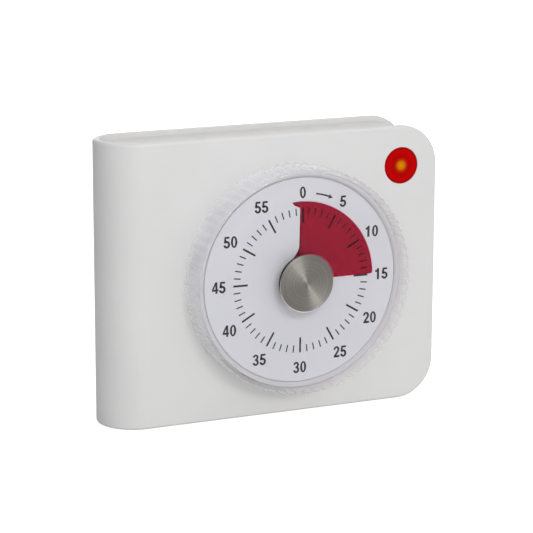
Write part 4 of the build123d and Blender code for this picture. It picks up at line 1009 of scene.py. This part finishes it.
@dataclass
class Dial:
    """White dial film with its slit, its printed scale and figures, and the drum below."""

    datum: Datum
    film_top: float = 10.15
    sheet: float = 0.2
    pitch: float = 0.9
    hole_radius: float = 9.2
    slit_end: float = 31.5
    blend_end: float = 36.8
    rim: float = 40.7
    ink: float = 0.02
    tick_outer: float = 28.97
    long_inner: float = 22.92
    short_inner: float = 26.1
    long_width: float = 0.76
    short_width: float = 0.48
    scale_turn: float = 0.68
    scale_shift: Flat = (0.25, -0.12)
    sections: int = 36
    figure_radius: float = 35.0
    figure_tall: float = 4.5
    blend_rings: int = 12
    slit_steps: int = 8
    flat_radius: float = 38.0
    zero_gap: float = 0.1
    longest_edge: float = 1.2
    split_rounds: int = 4
    columns: int = 120
    guide_start: float = 2.5
    guide_sweep: float = 12.5
    guide_steps: int = 10
    guide_radii: tuple[float, ...] = (27.8, 28.6, 29.4, 30.2, 31.05)
    inner_radii: tuple[float, ...] = (
        9.2, 9.4, 9.6, 9.8, 10.1, 10.6, 11.1, 11.6, 12.0, 12.4, 12.8, 13.2, 13.6, 15, 18, 21, 24,
        27, 28.4, 28.7, 29.0, 29.25, 29.5, 29.7, 29.9, 30.15, 30.4, 30.7, 31.0, 31.1, 31.3, 31.5)
    pillars: tuple[Flat, ...] = ((-31.0, 2.0), (24.5, -10.0), (24.5, 17.0))

    def screw(self, angle: float) -> float:
        """Height of the screw surface at a clock angle."""
        return self.film_top - self.pitch / 2 + self.pitch * angle / FULL_TURN

    def surface(self, radius: float, angle: float) -> float:
        """Height of the film's printed face at a radius and clock angle."""
        turn = angle % FULL_TURN
        screw = self.screw(angle if 0 <= angle <= FULL_TURN else turn)
        margin = self.margin(turn)
        start = self.slit_end - 2 * self.sheet
        if radius <= start:
            return screw
        if radius < self.slit_end:
            return screw + (margin - screw) * (radius - start) / (self.slit_end - start)
        share = (radius - self.slit_end) / (self.blend_end - self.slit_end)
        return margin + (self.film_top - margin) * smooth_step(share)

    def margin(self, angle: float) -> float:
        """Height just outside the slit's end, where the film steps down past the slit."""
        section = FULL_TURN / self.sections
        before, after = section, 3 * section
        turn = (angle + before) % FULL_TURN
        if turn < before + after:
            top, bottom = self.screw(FULL_TURN - before), self.screw(after)
            return top + (bottom - top) * smooth_step(turn / (before + after))
        return self.screw(angle % FULL_TURN)

    def slit_edge(self, radius: float) -> float:
        """How far the slit's left edge lies left of twelve o'clock at a radius."""
        stations = ((self.hole_radius, 4.5), (9.6, 3.8), (10.1, 3.0), (11.1, 2.1), (12.0, 1.5),
                    (12.8, 1.1), (13.6, 0.92),
                    (28.4, 0.62), (29.0, 0.9), (29.5, 1.9), (29.9, 2.7), (30.4, 3.3), (31.0, 3.75),
                    (self.slit_end, 3.9))
        for (near, first), (far, second) in zip(stations, stations[1:]):
            if radius <= far:
                return first + (second - first) * (radius - near) / (far - near)
        return stations[-1][1]

    def slit_turn(self, radius: float) -> float:
        """Clock angle of the slit's left edge at a radius."""
        return FULL_TURN - math.degrees(math.asin(self.slit_edge(radius) / radius))

    def drape(self, skin: Skin, radius: float, angles: Sequence[float], lift: float) -> list[int]:
        """Adds a line of points on the film, raised by `lift`."""
        return skin.line([self.datum.on_dial(radius, angle, self.surface(radius, angle) + lift)
                          for angle in angles])

    def film(self, paint: Material) -> None:
        """Dial film as one sheet with an open slit."""
        skin = Skin()
        blend_radii = even(self.slit_end, self.blend_end, self.blend_rings)
        end = self.slit_turn(self.slit_end)
        round_angles = even(0.0, end, self.columns) + even(end, FULL_TURN, self.slit_steps)[1:-1]
        sides: list[list[list[int]]] = []
        for lift in (0.0, -self.sheet):
            rows = [self.drape(skin, radius, even(0.0, self.slit_turn(radius), self.columns), lift)
                    for radius in self.inner_radii]
            skin.strip(rows, closed=False)
            rings = [self.drape(skin, radius, round_angles, lift)
                     for radius in (*blend_radii, self.flat_radius, self.rim)]
            skin.strip(rings)
            sides.append([*rows, rings[0], rings[-1]])
        over, under = sides
        skin.bridge(over[0], under[0], closed=False)
        skin.bridge(over[-1], under[-1])
        count = len(self.inner_radii)
        for column in (0, -1):
            skin.bridge(*([row[column] for row in side[:count]] for side in sides), closed=False)
        notch = slice(self.columns, None)
        skin.bridge(*([*side[-2][notch], side[-2][0]] for side in sides), closed=False)
        skin.piece("dial_film", [paint], Body.HOUSING, "dial_film", ["dial_plate"], sharp=40)

    def guide(self, paint: Material) -> None:
        """White leaf behind the slit's hook, a stand-in that backs the red film there."""
        skin = Skin()
        angles = even(self.guide_start, self.guide_start - self.guide_sweep, self.guide_steps)
        skin.sheet([[[self.datum.on_dial(radius, angle, self.screw(angle) - depth)
                      for angle in angles] for radius in self.guide_radii]
                    for depth in (self.sheet, 2 * self.sheet)])
        skin.piece("slit_guide", [paint], Body.HOUSING, "dial_film", ())

    def printed(self, name: str, paint: Material, shapes: Sequence[Outline]) -> None:
        """Printed shapes draped over the film.

        Args:
            name: Name of the piece.
            paint: Ink.
            shapes: Outline and holes of each shape, in millimetres from the dial's axis.
        """
        built = bmesh.new()
        right, up = self.scale_shift
        for outline, holes in shapes:
            loops = [[(x + right, z + up) for x, z in loop] for loop in (outline, *holes)]
            flat = [point for loop in loops for point in loop]
            corners = [built.verts.new((x, 0.0, z)) for x, z in flat]
            places = [[Vector((x, 0, z)) for x, z in loop] for loop in loops]
            for triangle in tessellate_polygon(places):
                if len({flat[corner] for corner in triangle}) == 3:
                    built.faces.new([corners[corner] for corner in triangle])
        for _ in range(self.split_rounds):
            long_edges = [edge for edge in built.edges if edge.calc_length() > self.longest_edge]
            if long_edges:
                bmesh.ops.subdivide_edges(built, edges=long_edges, cuts=1)
                wide = [face for face in built.faces if len(face.verts) > 4]
                bmesh.ops.triangulate(built, faces=wide)
        for vertex in built.verts:
            radius = math.hypot(vertex.co.x, vertex.co.z)
            angle = math.degrees(math.atan2(vertex.co.x, vertex.co.z)) % FULL_TURN
            place = self.datum.on_dial(radius, angle, self.surface(radius, angle) + self.ink)
            vertex.co = Vector(place) * MM
        bmesh.ops.recalc_face_normals(built, faces=built.faces)
        if sum(face.normal.y * face.calc_area() for face in built.faces) > 0:
            bmesh.ops.reverse_faces(built, faces=built.faces)
        mesh = bpy.data.meshes.new(name)
        built.to_mesh(mesh)
        built.free()
        piece = finish_piece(name, mesh, [paint], Body.HOUSING, (), 60)
        thick = piece.modifiers.new("ink", "SOLIDIFY")
        thick.thickness = self.ink * MM
        thick.offset = -1.0

    def ticks(self) -> list[Outline]:
        """Minute marks: long every fifth minute."""
        marks = []
        for minute in range(60):
            long_mark = minute % 5 == 0
            inner = self.long_inner if long_mark else self.short_inner
            half = (self.long_width if long_mark else self.short_width) / 2
            turn = math.radians(DEGREES_PER_MINUTE * minute + self.scale_turn)
            sine, cosine = math.sin(turn), math.cos(turn)
            shift = half + self.zero_gap if minute == 0 else 0.0
            left, right = shift - half, shift + half
            spots = ((inner, left), (inner, right), (self.tick_outer, right),
                     (self.tick_outer, left))
            marks.append(([(sine * r + cosine * s, cosine * r - sine * s) for r, s in spots], []))
        return marks

    def numbers(self) -> list[Outline]:
        """Upright figures for every fifth minute."""
        digits, tall = Digits(), self.figure_tall
        shapes = []
        for minute in range(0, 60, 5):
            text = str(minute)
            turn = math.radians(DEGREES_PER_MINUTE * minute + self.scale_turn)
            x, z = self.figure_radius * math.sin(turn), self.figure_radius * math.cos(turn)
            width = digits.advance * (len(text) - 1) + digits.width
            for place, figure in enumerate(text):
                left, low = x + tall * (digits.advance * place - width / 2), z - tall / 2
                outline, holes = digits.outline(figure)
                moved = [[(left + tall * u, low + tall * v) for u, v in loop]
                         for loop in (outline, *holes)]
                shapes.append((moved[0], moved[1:]))
        return shapes

    def arrow(self) -> list[Outline]:
        """Curved arrow that shows the way the time runs up."""
        radius, half, barb, drop = 34.6, 0.31, 0.95, 0.1
        start, end, head, sweep, notch = 10.2, 20.0, 22.8, 0.4, 0.1

        def at(distance: float, angle: float) -> Flat:
            """Point in the dial's plane."""
            turn = math.radians(angle)
            return distance * math.sin(turn), distance * math.cos(turn)

        angles = even(start, end, 12)
        shaft = [at(radius + half, a) for a in angles]
        shaft += [at(radius - half, a) for a in reversed(angles)]
        point = [at(radius + barb, end - sweep), at(radius - drop, head),
                 at(radius - barb, end - sweep), at(radius, end + notch)]
        return [(shaft, []), (point, [])]

    def drum(self) -> None:
        """White drum that carries the film, with the raised ring round the film's edge."""
        skin = Skin()
        outer, wall, rise, slope, seat_gap, rest = 42.8, 2.6, 0.7, 0.8, 0.2, 0.1
        ledge, floor_low, floor_top = self.film_top - self.sheet, 6.0, 8.0
        bush, flange, edge, groove = 4.1, 5.5, 0.2, 0.7
        top, seat, bed = self.film_top + rise, self.rim + seat_gap, self.rim - rest
        skin.revolve(self.datum, [
            (outer, 0), *rounded(outer, top, edge, 3), (seat + slope, top), (seat, self.film_top),
            (seat, ledge - groove), (bed, ledge - groove), (bed, ledge), (self.rim - wall, ledge),
            (self.rim - wall, floor_top), (bush, floor_top), (bush, 0), (flange, 0),
            (flange, floor_low), (outer - wall, floor_low), (outer - wall, 0)], 180)
        pilot, pillar, pillar_top = 1.0, 3.0, floor_low + 0.2
        for x, z in self.pillars:
            skin.revolve(self.datum, [(pilot, 0), (pillar, 0), (pillar, pillar_top),
                                      (pilot, pillar_top)],
                         32, centre=(self.datum.dial_x + x, self.datum.dial_z + z))
        white = Moulded("drum_satin", (212, 213, 220), roughness=0.45).material()
        skin.piece("dial_drum_skin", [white], Body.HOUSING, "drum_plastic", ["dial_drum"])

    def build(self) -> None:
        """Builds and dresses the dial."""
        self.drum()
        # The dial film and the leaf behind the slit glow a little: painted light that lightens the
        # shade under the cap and the cover
        white = Film("dial_white_painted_glow", (213, 216, 225), glow=0.11).material()
        self.film(white)
        self.guide(white)
        ink = Film("dial_ink", (26, 26, 29), roughness=0.6).material()
        self.printed("minute_marks", ink, self.ticks())
        self.printed("minute_figures", ink, self.numbers())
        self.printed("turn_arrow", ink, self.arrow())


@dataclass
class RedFilm:
    """Red film with its hub, a screw surface that shows the minutes left."""

    datum: Datum
    dial: Dial
    minutes: float = 15.0
    overlap: float = 2.0
    radius: float = 31.15
    grip: float = 4.1
    corner: float = 0.9
    gap: float = 0.25
    hub_radius: float = 4.6
    hub_low: float = 9.2
    hub_high: float = 12.2
    columns: int = 180
    rings: tuple[float, ...] = (12.0, 20.0, 26.0, 29.0)

    def row(self, radius: float, lift: float) -> list[Point]:
        """Points along the film at a radius, from its tail to its rounded leading corner."""
        lead = DEGREES_PER_MINUTE * self.minutes
        tail = lead - FULL_TURN + self.overlap
        over = max(radius - (self.radius - self.corner), 0.0)
        short = self.corner - math.sqrt(max(self.corner ** 2 - over ** 2, 0.0))
        return [self.datum.on_dial(radius, angle, self.dial.screw(angle) + self.gap + lift)
                for angle in even(tail, lead - math.degrees(short / radius), self.columns)]

    def build(self) -> None:
        """Builds and dresses the film."""
        paint = TintedFilm("red_tint").material()
        corner = [self.radius - inset for _, inset in quarter(self.corner, 6)]
        radii = (self.grip, *self.rings, *corner)
        sheet = Skin()
        sheet.sheet([[self.row(radius, lift) for radius in radii]
                     for lift in (self.dial.sheet, 0.0)])
        sheet.piece("red_film_sheet", [paint], Body.RED_FILM, "red_film", ["red_disc"])
        hub = Skin()
        bore, edge = 2.35, 0.2
        profile = [(bore, self.hub_low), (self.hub_radius, self.hub_low),
                   (self.hub_radius, self.hub_high - edge),
                   (self.hub_radius - edge, self.hub_high), (bore, self.hub_high)]
        hub.revolve(self.datum, profile, 48)
        hub.piece("red_hub", [paint], Body.RED_FILM, "red_film", ["red_disc"])


# ---------------------------------------------------------------- cover and cap
@dataclass
class SettingCover:
    """Clear cover that the user turns, with grip ribs round it and the steel cap on its window."""

    datum: Datum
    radius: float = 45.0
    rib_depth: float = 0.5
    crease: float = 0.3
    ribs: int = 72
    low: float = 0.4
    high: float = 16.0
    shoulder: float = 1.0
    inner: float = 43.2
    window_back: float = 13.8
    seat: float = 15.5
    cap_radius: float = 11.2
    cap_front: float = 16.3
    tip: float = 1.85
    hub_radius: float = 10.75
    hub_low: float = 13.05
    rib_points: int = 16

    def ring(self, base: float, rib: float, height: float) -> list[Point]:
        """Ribbed loop round the cover."""
        count = self.ribs * self.rib_points
        points = []
        for step in range(count):
            angle = 2 * math.pi * step / count
            ridge = math.sqrt(0.5 - 0.5 * math.cos(angle * self.ribs))
            crease = 0.5 - 0.5 * math.cos(2 * angle * self.ribs)
            radius = base + rib * (ridge - self.crease * crease * ridge)
            points.append((self.datum.dial_x + radius * math.cos(angle), self.datum.y_at(height),
                           self.datum.dial_z + radius * math.sin(angle)))
        return points

    def cup(self) -> None:
        """Window, wall and ribs of the cover."""
        skin = Skin()
        valley, inner_bevel, foot_bevel = self.radius - self.rib_depth, 0.2, 0.3
        wall = [(self.inner, 0.0, self.window_back), (self.inner, 0.0, self.low + inner_bevel),
                (self.inner + inner_bevel, 0.0, self.low), (valley - foot_bevel, 0.0, self.low),
                (valley, self.rib_depth, self.low + foot_bevel),
                (valley, self.rib_depth, self.high - self.shoulder)]
        bevel = [(valley - self.shoulder * (1 - math.cos(a)), self.rib_depth * math.cos(a),
                  self.high - self.shoulder * (1 - math.sin(a)))
                 for a in even(0.0, math.pi / 2, 5)[1:]]
        pocket, lip_wide, crest, rise, drop = self.cap_radius + 0.15, 0.35, 0.2, 0.05, 0.1
        lip = [(pocket + lip_wide, 0.0, self.high), (pocket + crest, 0.0, self.high + rise),
               (pocket, 0.0, self.high - drop)]
        window = [wall[-1], *bevel, lip[0]]
        under = [lip[-1], (pocket, 0.0, self.seat), (self.tip, 0.0, self.seat),
                 (self.tip, 0.0, self.window_back), (self.inner, 0.0, self.window_back)]
        for slot, profile in ((0, wall), (1, window), (2, lip), (1, under)):
            skin.slot = slot
            skin.strip([skin.line(self.ring(*station)) for station in profile])
        # The wall's glow is painted light: it lightens the ribs and flattens their shade, most of
        # all on the lower side
        milky = Clear("cover_wall_painted_glow", haze=0.36, haze_colour=(237, 238, 241), roughness=0.12,
                      relief=0.012, piped=0.15).material()
        clear = Clear("cover_window", roughness=0.05).material()
        # The lip is hazy and glows only where it faces up, right and front: a painted highlight on
        # its lower left round the cap
        lip_highlight_paint = Clear("cover_lip_painted_highlight", haze=0.8, piped=0.25, towards=(0.6, -0.5, 0.6)).material()
        skin.piece("setting_cover_cup", [milky, clear, lip_highlight_paint], Body.COVER, "clear_plastic",
                   ["clear_cover"], sharp=50)

    def cap(self) -> None:
        """Brushed steel disc."""
        skin = Skin()
        edge, halfway = 0.25, 6.0
        profile = [(0, self.seat), (self.cap_radius, self.seat),
                   *rounded(self.cap_radius, self.cap_front, edge, 4),
                   (halfway, self.cap_front), (0, self.cap_front)]
        skin.revolve(self.datum, profile, 180, closed=False)
        steel = BrushedDisc("cap_brushed", self.datum).material()
        skin.piece("steel_cap", [steel], Body.COVER, "brushed_steel", ["cap_disc"])

    def hub(self) -> None:
        """Ring behind the window that grips the spindle's tip, painted near black maroon as painted
        shade: the dark of the dial's middle round the red hub in the cap's shadow.
        """
        skin = Skin()
        edge = 0.2
        profile = [(self.tip, self.hub_low), (self.hub_radius - edge, self.hub_low),
                   (self.hub_radius, self.hub_low + edge), (self.hub_radius, self.window_back),
                   (self.tip, self.window_back)]
        skin.revolve(self.datum, profile, 96)
        # Painted shade: near black maroon for the shaded red hub seen past the cap's edge
        dark = Moulded("hub_painted_shade", (26, 8, 14), roughness=0.35).material()
        skin.piece("cover_hub_ring", [dark], Body.COVER, "drum_plastic", ["cover_hub"])

    def build(self) -> None:
        """Builds and dresses the cover, its hub and its cap."""
        self.cup()
        self.hub()
        self.cap()


# ---------------------------------------------------------------- signal lamp
@dataclass
class SignalLamp:
    """Red lens in the front plate."""

    datum: Datum
    radius: float = 7.3
    flange: float = 1.1
    depth: float = 3.4
    edge: float = 0.25
    wall: float = 2.6
    crown: tuple[Flat, ...] = ((3.0, 0.02), (0, 0.03))

    def build(self) -> None:
        """Builds and dresses the lens."""
        x, z = centre_of("led_lens")
        skin = Skin()
        wide = self.radius + self.flange
        profile = [(0, -self.depth), (wide, -self.depth), (wide, -self.wall),
                   (self.radius, -self.wall), *rounded(self.radius, 0.0, self.edge, 4),
                   *self.crown]
        skin.revolve(self.datum, profile, 96, centre=(x, z), closed=False)
        lit = LitLens("lit_red", x, z).material()
        skin.piece("signal_lens", [lit], Body.HOUSING, "red_lens", ["led_lens"])


# ---------------------------------------------------------------- carried-over nodes
class Wardrobe:
    """Finishes of the nodes that keep their solids."""

    def __init__(self) -> None:
        """Names one finish for each material slot of the record."""
        self.finishes = {
            "white_plastic": Moulded("white_part", (226, 226, 224)),
            "waist_plastic": Moulded("waist_part", (216, 215, 210)),
            "drum_plastic": Moulded("drum_part", (230, 230, 230)),
            "gear_plastic": Moulded("gear_part", (222, 214, 190), roughness=0.35),
            "movement_plastic": Moulded("movement_part", (196, 200, 205), roughness=0.4),
            "coil_plastic": Moulded("bobbin_part", (40, 70, 60)),
            "black_plastic": Moulded("black_part", (28, 28, 30), roughness=0.4),
            "chip": Moulded("chip_part", (24, 24, 26), roughness=0.55),
            "board": Moulded("board_part", (24, 88, 52), roughness=0.35),
            "cell_jacket": Moulded("cell_wrap", (58, 84, 120), roughness=0.25),
            "lamp": Moulded("lamp_part", (210, 40, 30), roughness=0.15),
            "clear_plastic": Clear("clear_part", haze=0.1),
            "dial_film": Film("film_part", (222, 225, 234)),
            "red_film": TintedFilm("red_part"),
            "red_lens": Moulded("lens_part", (180, 10, 10), roughness=0.15),
            "brushed_steel": Metal("steel_part", (176, 173, 165)),
            "spindle_steel": Metal("spindle_part", (186, 184, 178), roughness=0.25),
            "screw_steel": Metal("screw_part", (180, 178, 172), roughness=0.3),
            "spring_steel": Metal("spring_part", (196, 194, 186), roughness=0.25),
            "brass": Metal("brass_part", (206, 170, 96), roughness=0.3),
            "magnet": Metal("magnet_part", (92, 90, 92), roughness=0.45),
            "motor_iron": Metal("iron_part", (150, 150, 152), roughness=0.4),
            "copper": Metal("copper_part", (190, 100, 60), roughness=0.3),
            "tin": Metal("tin_part", (200, 200, 198), roughness=0.35),
        }

    def dress(self) -> None:
        """Gives every node its finish by its slot."""
        made: dict[str, Material] = {}
        for name, node in frame["nodes"].items():
            for slot in node.material_slots:
                key = slot.material.name if slot.material else "white_plastic"
                key = key.split(".")[0]
                if key not in self.finishes:
                    LOG.warning("no finish for %s on %s", key, name)
                    key = "white_plastic"
                if key not in made:
                    made[key] = self.finishes[key].material()
                slot.link = "OBJECT"
                slot.material = made[key]
            LOG.info("%s dressed", name)


# ---------------------------------------------------------------- studio
@dataclass(frozen=True)
class Lamp:
    """Soft rectangular studio light that points at the timer."""

    name: str
    place: Point
    size: float
    power: float

    def build(self, target: Vector) -> None:
        """Adds the light."""
        data = bpy.data.lights.new(self.name, "AREA")
        data.size = self.size
        data.energy = self.power
        light = bpy.data.objects.new(self.name, data)
        light.location = self.place
        light.rotation_mode = "QUATERNION"
        light.rotation_quaternion = (target - light.location).to_track_quat("-Z", "Y")
        bpy.context.scene.collection.objects.link(light)


@dataclass
class Studio:
    """Camera, floor, background and lights."""

    place: Point = (-0.349499, -0.772037, 0.253945)
    right: Point = (0.912012, -0.410154, 0.002901)
    up: Point = (0.089535, 0.205981, 0.974451)
    back: Point = (-0.400273, -0.888451, 0.224581)
    lens: float = 148.46
    sensor: float = 36.0
    near: float = 0.01
    floor_size: float = 8.0
    floor_glow: float = 0.85
    sky_from: Point = (0.4, -0.7, 0.5)
    sky_low: float = 0.17
    sky_high: float = 0.62
    sky_colour: Colour = (252, 252, 255)
    backdrop: float = 1.05
    lamps: tuple[Lamp, ...] = (
        Lamp("key_left", (-0.12, -0.86, 0.64), 0.2, 1.45),
        Lamp("key_right", (0.12, -0.86, 0.64), 0.2, 1.3),
        Lamp("left", (-0.62, -0.95, 0.3), 0.6, 0.75),
        Lamp("top", (0.1, 0.2, 0.9), 0.8, 1.3),
        Lamp("low", (0.1, -0.9, 0.11), 0.2, 0.35),
        Lamp("back", (0.3, 0.95, 0.2), 0.5, 2.0))

    def camera(self) -> None:
        """Adds the camera."""
        data = bpy.data.cameras.new("view")
        data.lens = self.lens
        data.sensor_width = self.sensor
        data.clip_start = self.near
        camera = bpy.data.objects.new("view", data)
        turn = Matrix((self.right, self.up, self.back)).transposed()
        camera.matrix_world = Matrix.Translation(self.place) @ turn.to_4x4()
        bpy.context.scene.collection.objects.link(camera)
        bpy.context.scene.camera = camera

    def floor(self) -> None:
        """Adds the pale floor under the timer."""
        half = self.floor_size / 2
        mesh = bpy.data.meshes.new("floor")
        corners = [(-half, -half, 0), (half, -half, 0), (half, half, 0), (-half, half, 0)]
        mesh.from_pydata(corners, [], [(0, 1, 2, 3)])
        floor = bpy.data.objects.new("floor", mesh)
        bpy.context.scene.collection.objects.link(floor)
        shader = Shader("pale_floor")
        tint = shader.tint(shader.noise(60.0), (231, 231, 231), (234, 234, 234))
        shown = shader.node("ShaderNodeLightPath").outputs["Is Camera Ray"]
        shader.set(emission_color=tint, roughness=0.9,
                   emission_strength=shader.math("MULTIPLY", shown, self.floor_glow))
        mesh.materials.append(shader.material)
        floor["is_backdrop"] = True

    def sky(self) -> None:
        """White backdrop whose light comes softly from the front right and above."""
        world = bpy.data.worlds.new("studio")
        bpy.context.scene.world = world
        sky = Tree(world)
        slope = sky.facing(sky.node("ShaderNodeTexCoord").outputs["Generated"], self.sky_from)
        strength = sky.spread(slope, self.sky_low, self.sky_high, -1.0, 1.0,
                              interpolation_type="SMOOTHSTEP")
        light = sky.node("ShaderNodeBackground",
                         {"Color": linear(self.sky_colour), "Strength": strength})
        shown = sky.node("ShaderNodeBackground",
                         {"Color": (1, 1, 1, 1), "Strength": self.backdrop})
        ray = sky.node("ShaderNodeLightPath").outputs["Is Camera Ray"]
        mixed = sky.mix(ray, light.outputs[0], shown.outputs[0])
        sky.node("ShaderNodeOutputWorld", {"Surface": mixed})

    def build(self, target: Vector) -> None:
        """Builds the studio round a target point."""
        self.camera()
        self.floor()
        self.sky()
        for lamp in self.lamps:
            lamp.build(target)
        bpy.context.scene.view_settings.view_transform = "Standard"


def main() -> None:
    """Builds every sub-assembly in order, then the studio."""
    logging.basicConfig(level=logging.INFO, format="%(name)s: %(message)s")
    solid_low, solid_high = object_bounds()
    datum = Datum.read()
    Wardrobe().dress()
    Housing(datum).build()
    dial = Dial(datum)
    dial.build()
    RedFilm(datum, dial).build()
    SettingCover(datum).build()
    SignalLamp(datum).build()
    Studio().build((solid_low + solid_high) / 2)


if __name__ == "__main__":
    main()
